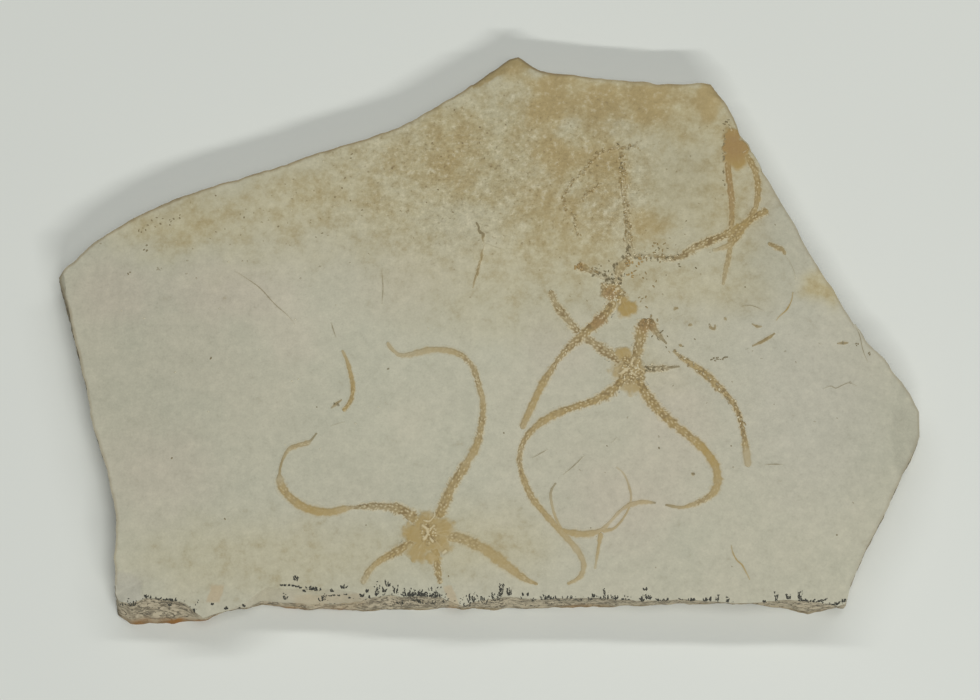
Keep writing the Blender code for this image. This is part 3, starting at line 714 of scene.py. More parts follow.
# shrubs: the foot's x and y, the height, and half the width
DENDRITES = (
    (-45.1, -61.4, 1.1, 0.4), (-41.6, -63.6, 0.9, 1.0), (-40.1, -63.9, 1.0, 0.7), (-43.0, -64.1, 0.5, 0.5),
    (-34.0, -63.2, 0.8, 0.7), (-36.6, -64.0, 0.4, 0.4), (-47.7, -66.1, 1.5, 0.7), (-39.2, -66.5, 1.6, 1.0),
    (-32.6, -65.8, 0.5, 0.2), (-26.2, -64.9, 2.7, 0.7), (-23.4, -62.7, 1.2, 0.5), (-24.3, -64.1, 1.2, 0.5),
    (-28.3, -64.1, 0.9, 0.2), (-29.5, -65.3, 0.7, 0.5), (-27.7, -65.5, 0.5, 0.2), (-21.7, -64.4, 1.7, 0.6),
    (-18.9, -65.1, 1.7, 1.0), (-17.5, -65.1, 1.0, 2.9), (-16.3, -64.9, 1.5, 1.0), (-12.0, -65.6, 2.4, 1.4),
    (-14.4, -65.3, 0.9, 1.4), (-17.2, -66.5, 1.4, 1.0), (-15.1, -67.3, 1.2, 1.2), (-20.5, -67.5, 1.0, 0.7),
    (-12.7, -67.5, 1.0, 0.5), (-10.4, -66.8, 0.7, 0.2), (-3.8, -66.5, 2.4, 1.0), (-4.7, -67.8, 1.0, 0.7),
    (-1.0, -67.3, 2.0, 1.2), (1.9, -66.3, 1.7, 1.0), (3.5, -64.1, 1.7, 0.5), (3.3, -65.1, 0.7, 0.4),
    (5.3, -64.9, 1.5, 0.7), (8.5, -64.9, 0.5, 0.2), (9.6, -64.9, 0.5, 0.2), (11.1, -66.5, 0.9, 0.6),
    (13.7, -66.1, 1.2, 1.0), (15.6, -66.1, 1.0, 0.7), (18.6, -66.5, 1.2, 1.9), (21.7, -66.3, 0.6, 1.0),
    (24.3, -66.5, 1.4, 0.6), (25.1, -65.3, 0.7, 0.2), (28.1, -66.1, 2.2, 0.7), (30.0, -65.8, 0.9, 0.7),
    (26.9, -66.1, 1.0, 0.5), (32.6, -66.1, 0.4, 1.0), (36.8, -66.3, 1.2, 0.7), (38.0, -65.8, 0.9, 0.7),
    (41.5, -66.4, 0.8, 1.4), (47.7, -66.2, 0.5, 1.9), (51.4, -66.1, 0.5, 0.7), (52.6, -66.2, 1.0, 0.2),
    (54.3, -66.3, 1.3, 0.3), (56.7, -66.5, 1.4, 0.3), (65.5, -66.5, 0.3, 0.4), (68.5, -66.5, 2.2, 0.5),
    (71.3, -65.8, 1.8, 0.5), (73.9, -65.8, 2.2, 0.5), (76.7, -66.5, 0.7, 2.6), (80.9, -67.3, 0.8, 1.7),
    (84.2, -66.5, 0.9, 0.5), (-86.1, -67.5, 0.4, 0.7), (-83.7, -67.6, 1.3, 1.0), (-80.0, -65.7, 1.0, 0.7),
    (-77.5, -65.9, 0.4, 0.7), (-75.6, -66.1, 0.4, 0.7), (-74.1, -66.3, 0.7, 0.7), (-75.1, -67.6, 0.7, 0.5),
    (-71.7, -67.3, 0.3, 0.3), (-69.1, -68.8, 0.7, 0.2), (-64.8, -67.1, 0.4, 0.2), (-61.6, -68.2, 0.4, 0.5),
    (-58.5, -68.2, 0.3, 0.2), (-57.4, -67.7, 0.5, 0.3), (37.3, -63.6, 0.5, 0.4),
)
# a row of beads behind them, in the same way
BEAD_LINE = tuple((x, y, 0.1, 0.3) for x, y in (
    (-48.6, -62.5), (-47.7, -62.5), (-46.8, -62.5), (-45.9, -62.6), (-44.9, -62.8), (-44.0, -63.1),
    (-37.1, -65.2), (-36.2, -65.0), (-35.0, -65.1), (-33.5, -64.8)))
# single grains: x from and to, y from and to, and how many
FRONT_SPECKS = (
    (-24.0, 36.0, -68.2, -65.0, 190), (-26.0, -9.0, -68.0, -64.6, 90), (-38.0, -24.0, -67.8, -65.8, 20),
    (-85.0, -68.0, -70.0, -65.6, 44), (66.0, 84.0, -68.4, -66.4, 36), (36.0, 60.0, -67.4, -66.2, 30),
)
GRAINS = 8                   # along each stem
GRAIN_SIZE = (0.11, 0.30)
GRAIN_HEIGHT = 0.03
CRUMB_AROUND = 6             # points round a grain
CRUMB_RINGS = (0.6, 1.0, 1.0)      # shares of its radius: the crown, the rim and the skirt
SKIRT = 0.2                  # how far the skirt reaches into the stone
RAY_START = 20.0             # above the bedding

ground = BVHTree.FromPolygons(slab_points.tolist(), faces)


def landed(x, y, surfaces):
    """Where lines that cross the bedding face at x, y, and lean towards the front by the camera's tilt,
    first meet one of the surfaces: which of them do, the places and the normals there."""
    lean = np.array((0.0, -math.sin(CAMERA_TILT), math.cos(CAMERA_TILT)))
    hit, places, normals = [], [], []
    for across, back in zip(x, y):
        met = [surface.ray_cast((across, back, THICKNESS) + RAY_START * lean, -lean) for surface in surfaces]
        met = [found for found in met if found[0] is not None]
        hit.append(bool(met))
        if met:
            place, normal, _, _ = min(met, key=lambda found: found[3])
            places.append(place)
            normals.append(normal)
    return np.array(hit), np.array(places), np.array(normals)


def crumbs(x, y, length, width, turn, height, surfaces=(ground,)):
    """Low grains on the slab: ellipses of length x width, turned in the surface, that rise along its normal
    by height x (1 - r^2), each with a skirt that reaches down into the stone."""
    hit, middle, normal = landed(x, y, surfaces)
    length, width, turn = (np.broadcast_to(values, x.shape)[hit][:, None] for values in (length, width, turn))
    # two directions in the surface: level on the broken sides, along x on the face
    first = np.cross(normal, np.array((0.0, 0.0, 1.0)) + 0 * normal) + np.array((1e-6, 0.0, 0.0))
    first = np.where(np.abs(normal[:, 2:]) > 0.9, np.array((1.0, 0.0, 0.0)), first)
    first -= normal * np.sum(first * normal, axis=1, keepdims=True)
    first /= np.linalg.norm(first, axis=1, keepdims=True)
    second = np.cross(normal, first)
    ahead = first * np.cos(turn) + second * np.sin(turn)
    aside = second * np.cos(turn) - first * np.sin(turn)
    angle = np.arange(CRUMB_AROUND) * 2 * math.pi / CRUMB_AROUND
    radius = np.concatenate([[0.0], np.repeat(CRUMB_RINGS, CRUMB_AROUND)])
    angle = np.concatenate([[0.0], np.tile(angle, len(CRUMB_RINGS))])
    lift = height * (1 - radius ** 2)
    lift[-CRUMB_AROUND:] = -SKIRT
    points = (middle[:, None] + ahead[:, None] * (length * radius * np.cos(angle) / 2)[..., None]
              + aside[:, None] * (width * radius * np.sin(angle) / 2)[..., None]
              + normal[:, None] * lift[None, :, None])
    # one grain's faces: a fan round its top, two bands and a closed bottom
    inner = np.arange(1, CRUMB_AROUND + 1)
    beside = np.roll(inner, -1)
    one = np.stack([0 * inner, inner, beside], axis=1).tolist()
    for step in (0, CRUMB_AROUND):
        outer, next_out = inner + step + CRUMB_AROUND, beside + step + CRUMB_AROUND
        one += np.stack([inner + step, outer, next_out, beside + step], axis=1).tolist()
    one.append((inner[::-1] + 2 * CRUMB_AROUND).tolist())
    count, corners = points.shape[:2]
    faces = [[corner + start for corner in face]
             for start in range(0, count * corners, corners) for face in one]
    return points.reshape(-1, 3), faces


def shrub_grains(shrubs, seed):
    """Places, lengths, widths and turns of the grains: a shrub is a few stems that fan out upwards from its
    foot, and a stem is a row of grains that wobble sideways and lie along it."""
    random = np.random.default_rng(seed)
    rows = []
    for foot_x, foot_y, height, half_width in shrubs:
        for stem in range(3 + int(6 * half_width)):
            lean = random.uniform(-1.2, 1.2) * half_width
            tall = height * random.uniform(0.3, 1.25)
            up = np.sort(random.uniform(0, 1, GRAINS)) * min(1.0, 0.4 + tall)
            x = foot_x + lean * (0.7 + 0.5 * up) + random.normal(0, 0.06, GRAINS)
            y = foot_y + tall * up + random.normal(0, 0.05, GRAINS)
            size = random.uniform(*GRAIN_SIZE, GRAINS)
            turn = math.atan2(tall, lean * 0.5) + random.normal(0, 0.5, GRAINS)
            rows.append(np.stack([x, y, size * random.uniform(1.0, 2.6, GRAINS), size, turn], axis=1))
    return np.vstack(rows)


def strewn(bands, seed):
    """The same for single grains in bands (x from, x to, y from, y to, count), each lying as it fell."""
    random = np.random.default_rng(seed)
    rows = []
    for left, right, low, top, count in bands:
        size = random.uniform(*GRAIN_SIZE, count)
        x, y = random.uniform(left, right, count), random.uniform(low, top, count)
        length = size * random.uniform(1.0, 2.8, count)
        rows.append(np.stack([x, y, length, size, random.uniform(0, 3, count)], axis=1))
    return np.vstack(rows)


MANGANESE = (0.033, 0.033, 0.024)
manganese = Finish("manganese_oxide", roughness=0.7)
soot = manganese.noise(0.5, 3.0)
manganese.feed(manganese.shader.inputs["Base Color"], manganese.shaded(MANGANESE, soot * 2.0 + 0.2))
manganese.bump(soot, 0.02)
grains = np.vstack([shrub_grains(DENDRITES, 61), shrub_grains(BEAD_LINE, 63), strewn(FRONT_SPECKS, 64)])
crumb_points, crumb_faces = crumbs(*grains.T, GRAIN_HEIGHT)
shrubs = mesh_piece("manganese_shrubs", crumb_points, crumb_faces, manganese.material, sharp=80.0)
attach(shrubs, "root")

# ---- The brittle stars ------------------------------------------------------------------------------------
# Four brittle stars pressed flat between two beds, now brown calcite.  Near the discs the arms still show
# their plates, cream in brown outlines; elsewhere they are smooth ochre bands that fade into the stone.

PLATE_PITCH = 0.95           # along an arm
PLATE_ROW = 0.70             # across it
SPINE_PITCH = 0.65           # along its edges
ARM_GRAIN = 0.13             # mesh spacing along an arm
ACROSS = 27                  # points across an arm
MARGIN = 1.8                 # the arm's skin runs to this many half widths, dipping under the stone
MARGIN_EXTRA = 0.3           # beyond the arm, a half width is this much longer
MARGIN_DROP = 0.12           # how far it dips there
SKIN_LIFT = 0.03             # how far a fossil's skin stands above the stone
ARM_RELIEF = 0.20            # crown of an arm that is at least FULL_WIDTH wide
FULL_WIDTH = 1.6
ARM_PLATE, ARM_GROOVE = 0.10, 0.07       # relief of its plates and depth of the grooves round them
UNDER_DROP, OVER_LIFT = 0.05, 0.12       # where one arm lies under or over another
ROOT = 0.7                   # how deep a fossil reaches into the stone
RIM_GAP = 0.3                # what is left between a fossil and the slab's rim
JITTER = 0.4                 # how far a plate strays from its place in the pattern
TONES = 61                   # random plates each way, after which they repeat
CURVE_STEPS = 24             # between two points of a middle line
FOSSIL_FACTS = ("cover", "groove", "plate", "ash", "red")


def scales(u, v, seed):
    """Staggered plates about one unit across: for every place the distance to the nearest plate's middle,
    and that plate's random tone."""
    random = np.random.default_rng(seed).uniform(0, 1, (3, TONES, TONES))
    row = np.floor(v).astype(int)
    nearest, tone = np.full(u.shape, 9.0), np.zeros(u.shape)
    for down in (-1, 0, 1):
        j = row + down
        stagger = 0.5 * (j % 2)
        for along in (-1, 0, 1):
            i = np.floor(u - stagger).astype(int) + along
            shift_u, shift_v, shade = random[:, i % TONES, j % TONES]
            distance = np.hypot(u - (i + 0.5 + stagger + JITTER * (shift_u - 0.5) * 2),
                                v - (j + 0.5 + JITTER * (shift_v - 0.5) * 2))
            tone = np.where(distance < nearest, shade, tone)
            nearest = np.minimum(nearest, distance)
    return nearest, tone


def smooth_line(points, spacing):
    """Evenly spaced places on a Catmull-Rom curve through the points, and their distances along it."""
    points = np.array(points, float)
    padded = np.vstack([2 * points[0] - points[1], points, 2 * points[-1] - points[-2]])
    t = np.linspace(0, 1, CURVE_STEPS, endpoint=False)[:, None]
    pieces = [0.5 * (2 * b + (c - a) * t + (2 * a - 5 * b + 4 * c - d) * t ** 2
                     + (3 * b - a - 3 * c + d) * t ** 3)
              for a, b, c, d in zip(padded, padded[1:], padded[2:], padded[3:])]
    dense = np.vstack(pieces + [points[-1:]])
    length = np.concatenate([[0.0], np.cumsum(np.hypot(*np.diff(dense, axis=0).T))])
    s = np.linspace(0, length[-1], max(4, int(length[-1] / spacing)))
    return np.stack([np.interp(s, length, dense[:, 0]), np.interp(s, length, dense[:, 1])], axis=1), s


def arm_skin(points, keys, seed, under=(), over=(), red=()):
    """An arm as a profile carried along its middle line: width, plates, tint and darkness come from keys of
    (share of length, width, plates, tint, and dark where it isn't 0).  The profile is a low crown,
    relief x (1 - rise(|u|)), with domed plates; u is the distance across in half widths."""
    line, s = smooth_line(points, ARM_GRAIN)
    shares, *looks = np.array([(*key, 0.0)[:5] for key in keys]).T
    width, plated, tint, dark = (np.interp(s / s[-1], shares, look)[:, None] for look in looks)
    along = np.gradient(line, axis=0)
    along /= np.hypot(*along.T)[:, None]
    # the band: half the width, uneven and rounded off at both ends, and a margin of its own beyond it
    end = np.minimum(s, s[-1] - s)[:, None] / (width / 2 + 0.05)
    half = width / 2 * (1 + 0.12 * fractal(s, s * 0, 1.4, seed)[:, None])
    half = half * np.sqrt(np.clip(1 - (1 - np.clip(end, 0, 1)) ** 2, 0.04, 1))
    u = np.linspace(-MARGIN, MARGIN, ACROSS)[None, :]
    across = u * half + np.sign(u) * np.maximum(0, np.abs(u) - 1) * MARGIN_EXTRA
    x = line[:, :1] - along[:, 1:] * across
    y = line[:, 1:] + along[:, :1] * across
    edge = np.abs(u) + (0.12 + 0.12 * plated) * fractal(x, y, 0.6, seed + 5, 2)
    inside = 1 - rise(edge, 0.85, 1.12)
    # its plates, in rows that bend back towards the edges, and the grooves between them
    nearest, tone = scales(s[:, None] / PLATE_PITCH - 0.5 * np.abs(u), across / PLATE_ROW, seed)
    patchy = 0.45 + 0.55 * rise(fractal(x, y, 1.3, seed + 3, 2), -0.4, 0.8)
    plate = (1 - rise(nearest, 0.12, 0.36)) * rise(tone, 0.2, 0.8) * plated * inside
    groove = rise(nearest, 0.24, 0.46) * patchy * plated * inside
    # the spines along its edges, with pale gaps between them
    tooth = rise(np.sin(2 * math.pi * (s[:, None] / SPINE_PITCH - 0.9 * np.abs(u))
                        + 2.5 * fractal(x, y, 1.5, seed + 9, 1)), -0.3, 0.7)
    tooth = tooth * rise(fractal(x, y, 0.7, seed + 11, 2), -0.35, 0.35)
    fringe = plated * (rise(edge, 0.75, 0.95) - rise(edge, 1.1, 1.35))
    plate = np.maximum(plate, 0.5 * fringe * (1 - tooth) * rise(edge, 0.9, 1.05))
    cover = tint * (0.75 * (1 - rise(edge, 0.7, 1.15)) + 0.25 * (1 - rise(edge, 0.9, 1.6)))
    cover = np.maximum(cover, 0.6 * (0.3 + 0.7 * tint) * fringe * tooth)
    # its height above the stone
    crown = 1 - rise(np.abs(u), 0.45, 1.15)
    relief = ARM_RELIEF * np.minimum(1, width / FULL_WIDTH) * crown
    relief = relief + plated * (ARM_PLATE * plate - ARM_GROOVE * groove)
    relief = relief + SKIN_LIFT - MARGIN_DROP * rise(np.abs(u), 1.45, MARGIN)
    relief = relief - UNDER_DROP * nearness(x, y, under) + OVER_LIFT * nearness(x, y, over)
    top = np.stack([x, y, stone_face(x, y) + relief], axis=2)
    # the mesh: the skin is closed by a root below it
    bottom = top[:, [-1, 0]].copy()
    bottom[:, :, 2] = THICKNESS - ROOT
    ring = np.concatenate([top, bottom], axis=1)
    count, around = ring.shape[:2]
    numbers = np.arange(count * around).reshape(count, around)
    one, two = numbers[:-1], numbers[1:]
    faces = np.stack([one, np.roll(one, -1, axis=1), np.roll(two, -1, axis=1), two], axis=2).reshape(-1, 4)
    faces = faces.tolist() + [numbers[0, ::-1].tolist(), numbers[-1].tolist()]
    looks = (cover, np.maximum(groove, 0.5 * fringe * tooth), plate, dark * inside,
             nearness(x, y, red) * inside)
    looks = [np.concatenate([look, np.zeros((count, 2))], axis=1).ravel() for look in looks]
    return ring.reshape(-1, 3), faces, dict(zip(FOSSIL_FACTS, looks))


def arm_skins(arms, seed, **marks):
    """An arm's skin for each (points, keys), each with a seed of its own."""
    return [arm_skin(points, keys, seed + 7 * index, **marks) for index, (points, keys) in enumerate(arms)]


def room_inside(centre, turn, reach):
    """How far one can go from a place in each direction, up to reach, and stay inside the slab's rim."""
    rim = np.array(OUTLINE)[:, :2] - centre
    step = np.roll(rim, -1, axis=0) - rim
    ahead_x, ahead_y = np.cos(turn)[:, None], np.sin(turn)[:, None]
    cross = ahead_x * step[:, 1] - ahead_y * step[:, 0]
    distance = (rim[:, 0] * step[:, 1] - rim[:, 1] * step[:, 0]) / cross
    share = (rim[:, 0] * ahead_y - rim[:, 1] * ahead_x) / cross
    hits = (distance > 0) & (share >= 0) & (share <= 1)
    return np.minimum(reach, np.min(np.where(hits, distance, np.inf), axis=1) - RIM_GAP)


DISC_AROUND, DISC_OUT = 200, 72          # points round a disc, and from its centre out
DISC_PITCH = 0.8                         # of the core's plates, in rows as wide as an arm's
DISC_RELIEF = 0.28
DISC_PLATE, DISC_GROOVE = 0.08, 0.09     # relief of its plates and depth of the grooves round them
DISC_DROP = 0.16                         # of its outer edge


def disc_skin(centre, reach, body, pads, strokes, seed, red=(), softness=1.0):
    """A disc as a polar surface: height and tint follow the larger of the body and the smooth pads, each
    1 - rise(distance / radius).  The core of the body is plated; strokes are pale ridges (points, width)."""
    turn = np.linspace(0, 2 * math.pi, DISC_AROUND, endpoint=False)
    radius = np.linspace(0.005, 1, DISC_OUT)[:, None] * room_inside(centre, turn, reach)
    x, y = centre[0] + radius * np.cos(turn), centre[1] + radius * np.sin(turn)
    ragged = 0.65 * fractal(x, y, 1.1, seed, 4)
    (body_x, body_y), body_radius, core, body_cover = body
    away = np.hypot(x - body_x, y - body_y) + ragged
    solid = 1 - rise(away, body_radius * 0.75, body_radius * 1.15)
    grainy = (core > 1) * (1 - rise(away, core * 0.8, core * 1.25))
    pad = np.zeros(x.shape)
    for (pad_x, pad_y), pad_radius, strength in pads:
        pad = np.maximum(pad, strength * (1 - rise(np.hypot(x - pad_x, y - pad_y) + ragged * softness,
                                                   pad_radius * (0.8 - 0.3 * softness),
                                                   pad_radius * (1.1 + 0.15 * softness))))
    # the plated core, and the strokes that stand over it
    nearest, tone = scales(x / DISC_PITCH, y / PLATE_ROW, seed)
    patchy = 0.4 + 0.6 * rise(fractal(x, y, 1.3, seed + 3, 2), -0.4, 0.8)
    groove = rise(nearest, 0.26, 0.5) * grainy * patchy
    plate = rise(tone, 0.2, 0.8) * (1 - rise(nearest, 0.14, 0.38)) * grainy
    for stroke, width in strokes:
        line, _ = smooth_line(stroke, 0.2)
        off = np.min(np.hypot(x[..., None] - line[:, 0], y[..., None] - line[:, 1]), axis=2)
        off = off + 0.12 * fractal(x, y, 0.8, seed + 5, 2)
        plate = np.maximum(plate, 0.9 * (1 - rise(off, width * 0.1, width * 0.55)))
        groove = np.maximum(groove * rise(off, width * 0.3, width * 0.6),
                            0.4 * (rise(off, width * 0.4, width * 0.6) - rise(off, width * 0.65, width)))
    # creases that run out from the centre
    streak = fractal((turn + 0 * radius) * 9, radius * 0.5, 1.0, seed + 8, 2)
    streak = streak * rise(radius, 0.4, 2.0) * softness
    both = np.maximum(solid, pad)
    worn = rise(fractal(x, y, 1.2, seed + 6), -0.2, 0.8)
    groove = np.maximum(groove, 0.3 * both * rise(streak, 0.1, 1.0) * worn)
    plate = np.maximum(plate, 0.25 * both * rise(-streak, 0.2, 1.0))
    # its height above the stone, and the mesh, closed by a root below it
    relief = SKIN_LIFT + DISC_RELIEF * np.maximum(solid, pad * 0.9)
    relief = relief + DISC_PLATE * plate - DISC_GROOVE * groove
    relief = relief - DISC_DROP * rise(radius / radius[-1], 0.88, 1.0)
    top = np.stack([x, y, stone_face(x, y) + relief], axis=2)
    base = top[-1:].copy()
    base[:, :, 2] = THICKNESS - ROOT
    rings = np.concatenate([top, base], axis=0)
    numbers = np.arange(rings.shape[0] * DISC_AROUND).reshape(-1, DISC_AROUND)
    one, two = numbers[:-1], numbers[1:]
    faces = np.stack([one, two, np.roll(two, -1, axis=1), np.roll(one, -1, axis=1)], axis=2).reshape(-1, 4)
    faces = faces.tolist() + [numbers[0].tolist(), numbers[-1, ::-1].tolist()]
    looks = (np.maximum(solid * body_cover, pad), groove, plate, 0 * x, nearness(x, y, red) * both)
    looks = [np.concatenate([look, np.zeros((1, DISC_AROUND))], axis=0).ravel() for look in looks]
    return rings.reshape(-1, 3), faces, dict(zip(FOSSIL_FACTS, looks))


def joined(skins):
    """Several skins as one mesh: points, faces renumbered, and attributes, with the stone's stains added."""
    points, faces, facts, before = [], [], {}, 0
    for skin_points, skin_faces, skin_facts in skins:
        points.append(skin_points)
        faces += [[before + corner for corner in face] for face in skin_faces]
        before += len(skin_points)
        for key, values in skin_facts.items():
            facts.setdefault(key, []).append(values)
    points = np.vstack(points)
    facts = {key: np.concatenate(values) for key, values in facts.items()}
    return points, faces, {**facts, **stains(*points[:, :2].T)}


CALCITE = (0.404, 0.290, 0.103)
CALCITE_RED = (0.325, 0.195, 0.082)
GROOVE = (0.225, 0.157, 0.066)
PLATE = (0.71, 0.63, 0.42)
ASH = (0.185, 0.155, 0.082)

fossil = Finish("brown_calcite", roughness=0.62)
fossil.feed(fossil.shader.inputs["Specular IOR Level"], 0.3)
blotch, speckle = fossil.noise(1.6, 2.0), fossil.noise(0.35, 2.0)
# the calcite's marks, laid one over the next: the mark, its colour, and how much of it shows
CALCITE_MARKS = (
    ("cover", CALCITE, 0.78 + blotch * 0.4), ("red", CALCITE_RED, 0.2 + speckle * 0.8),
    ("groove", GROOVE, 0.5 + speckle * 0.7), ("plate", PLATE, 0.3 + speckle * 0.7),
    ("ash", ASH, 0.6 + speckle * 0.6),
)
fossil_colour = limestone(fossil)
for mark, colour, showing in CALCITE_MARKS:
    fossil_colour = fossil.mix((fossil.attribute(mark) * showing).held(), fossil_colour, colour)
fossil.feed(fossil.shader.inputs["Base Color"], fossil_colour)
fossil.bump(fossil.noise(0.4, 3.0, 0.6), 0.035)

# decayed parts lie as loose grains: what is on such a grain, its length and its width
GRAIN_KINDS = {
    "dark": ({"ash": 0.9, "groove": 0.8}, 0.75, 0.34), "speck": ({"ash": 0.5, "groove": 0.7}, 0.55, 0.38),
    # the pit grains are dark spots that stand for the shade inside pits: painted shade
    "fleck": ({"plate": 0.45}, 0.65, 0.38), "pit_shade": ({"groove": 0.4}, 0.55, 0.34),
    "brown": ({"groove": 0.7, "cover": 0.6}, 0.85, 0.38), "red": ({"cover": 0.9, "red": 0.55}, 0.8, 0.5),
    "pale": ({"plate": 1.0, "cover": 0.2}, 0.6, 0.4), "crumb": ({"cover": 0.5, "groove": 0.3}, 0.7, 0.35),
}
GRAIN_LIFT = 0.08


def trail(points, kinds, step, spread):
    """Fields of one grain each along a line, step millimetres apart, of each kind in turn."""
    line, _ = smooth_line(points, step)
    return tuple((kinds[index % len(kinds)], x, y, spread, spread, 1) for index, (x, y) in enumerate(line))


def loose_grains(fields, surfaces, seed):
    """Grains strewn about the middles of fields (kind, x, y, spread x, spread y, count) in a normal
    distribution, turned at random, as one skin each."""
    random = np.random.default_rng(seed)
    skins = []
    for kind, middle_x, middle_y, spread_x, spread_y, count in fields:
        facts, length, width = GRAIN_KINDS[kind]
        x, y = random.normal(middle_x, spread_x, count), random.normal(middle_y, spread_y, count)
        size = random.uniform(0.7, 1.3, (2, count))
        points, faces = crumbs(x, y, length * size[0], width * size[1], random.uniform(0, math.pi, count),
                               GRAIN_LIFT, surfaces)
        facts = {key: np.full(len(points), facts.get(key, 0.0)) for key in FOSSIL_FACTS}
        skins.append((points, faces, facts))
    return skins


def fossil_piece(name, node, skins, fields=()):
    """Join the skins and the loose grains of one fossil into a piece, which may stand for a node."""
    points, faces, facts = joined(skins)
    tree = BVHTree.FromPolygons(points.tolist(), faces)
    points, faces, facts = joined(skins + loose_grains(fields, (ground, tree), len(faces)))
    piece = mesh_piece(name, points, faces, fossil.material, facts, sharp=80.0)
    if node:
        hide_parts(node)
    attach(piece, "root")


# the lower left star: a pale five-lobed disc, two long curling arms and three short ones
LOWER_LEFT_ARMS = (
    (((-12.9, -48.0), (-11.9, -46.2), (-10.2, -43.0), (-8.1, -38.1), (-5.0, -32.9), (-2.6, -28.5),
      (-1.2, -22.1), (-1.0, -17.6), (-1.7, -14.4), (-2.9, -10.2), (-4.6, -7.4), (-6.7, -5.8),
      (-9.6, -4.8), (-12.7, -4.6), (-16.1, -5.2), (-18.7, -5.9), (-21.1, -5.9), (-23.1, -4.2),
      (-24.0, -2.7)),
     ((0.0, 2.6, 0.8, 0.85), (0.1, 2.4, 0.8, 0.8), (0.24, 2.1, 0.8, 0.75), (0.29, 2.0, 0.2, 0.75),
      (0.34, 1.9, 0.3, 0.8), (0.38, 1.7, 0.9, 0.75), (0.44, 1.6, 0.9, 0.7), (0.48, 1.6, 0.3, 0.75),
      (0.54, 1.4, 0.3, 0.7), (0.58, 1.3, 0.8, 0.65), (0.67, 1.2, 0.8, 0.65), (0.72, 1.4, 0.2, 0.7),
      (0.84, 1.7, 0.1, 0.6), (0.9, 1.2, 0.2, 0.5), (0.96, 0.9, 0.1, 0.55), (1.0, 0.9, 0.1, 0.5))),
    (((-16.0, -47.8), (-18.0, -45.7), (-20.7, -44.0), (-23.5, -43.4), (-27.8, -43.4), (-32.5, -43.7),
      (-36.6, -44.6), (-40.1, -44.6), (-43.5, -43.5), (-46.3, -41.5), (-48.5, -39.1), (-49.4, -35.9),
      (-48.8, -32.2), (-47.2, -29.3), (-44.8, -28.3), (-42.5, -27.5), (-40.6, -25.3)),
     ((0.0, 2.6, 0.9, 0.85), (0.1, 2.5, 1.0, 0.7), (0.18, 1.9, 1.0, 0.6, 0.1), (0.28, 1.3, 1.0, 0.55, 0.2),
      (0.315, 0.8, 1.0, 0.5, 0.1), (0.35, 1.5, 0.1, 0.7), (0.42, 2.0, 0.1, 0.85), (0.5, 2.1, 0.1, 0.9),
      (0.58, 1.9, 0.3, 0.8), (0.63, 1.9, 0.5, 0.8), (0.67, 2.2, 0.4, 0.8), (0.71, 2.1, 0.1, 0.5),
      (0.735, 0.6, 0.0, 0.7, 0.3), (0.79, 0.5, 0.0, 0.7, 0.45), (0.82, 0.8, 0.2, 0.6, 0.1),
      (0.88, 1.2, 0.3, 0.65), (0.94, 1.2, 0.4, 0.6), (0.96, 0.5, 0.0, 0.5, 0.6), (1.0, 0.45, 0.0, 0.5, 0.7))),
    (((-15.8, -50.8), (-17.5, -51.8), (-19.9, -53.5), (-23.0, -55.2), (-25.8, -56.9), (-28.1, -59.3),
      (-29.5, -62.2)),
     ((0.0, 2.6, 0.6, 0.85), (0.27, 2.0, 0.8, 0.8), (0.46, 1.7, 0.8, 0.8), (0.64, 1.5, 0.3, 0.8),
      (0.82, 1.5, 0.4, 0.6), (1.0, 1.4, 0.4, 0.3))),
    (((-13.4, -51.2), (-12.8, -52.7), (-12.1, -55.4), (-11.7, -58.3), (-11.1, -62.2)),
     ((0.0, 2.2, 0.5, 0.9), (0.4, 2.1, 0.3, 0.9), (0.65, 1.5, 0.9, 0.8), (1.0, 1.1, 1.0, 0.6))),
    (((-12.0, -50.2), (-10.0, -50.6), (-6.6, -51.0), (-3.3, -52.3), (0.0, -54.2), (3.3, -56.7), (6.6, -59.3),
      (9.4, -61.2), (12.0, -62.3)),
     ((0.0, 2.6, 0.6, 0.8), (0.2, 2.7, 0.6, 0.65), (0.35, 2.5, 0.4, 0.7), (0.48, 2.6, 0.15, 0.75),
      (0.65, 2.6, 0.1, 0.75), (0.78, 2.0, 0.1, 0.75), (0.9, 1.2, 0.5, 0.7), (1.0, 0.6, 0.5, 0.8))),
)
LOWER_LEFT_PADS = (((-17.4, -49.8), 3.0, 0.9), ((-14.4, -46.7), 2.6, 0.7), ((-10.2, -48.8), 2.9, 0.85),
                   ((-10.8, -52.9), 2.6, 0.75), ((-16.4, -54.2), 3.1, 0.85), ((-13.2, -55.6), 2.0, 0.85))
LOWER_LEFT_STROKES = ((((-15.3, -48.1), (-14.3, -48.9), (-14.1, -50.1), (-14.9, -51.3)), 0.9),
                      (((-12.2, -43.9), (-12.5, -45.6), (-13.6, -47.0), (-15.0, -46.8)), 0.5),
                      (((-10.4, -54.7), (-9.9, -54.2)), 0.8), (((-13.4, -51.3), (-12.9, -51.9)), 0.6),
                      (((-13.3, -48.9), (-12.6, -48.1)), 0.7))
fossil_piece("lower_left_star", "star_lower_left",
             [disc_skin((-14.0, -49.8), 8.2, ((-13.8, -49.9), 5.0, 2.2, 0.85), LOWER_LEFT_PADS,
                        LOWER_LEFT_STROKES, 71)] + arm_skins(LOWER_LEFT_ARMS, 100))

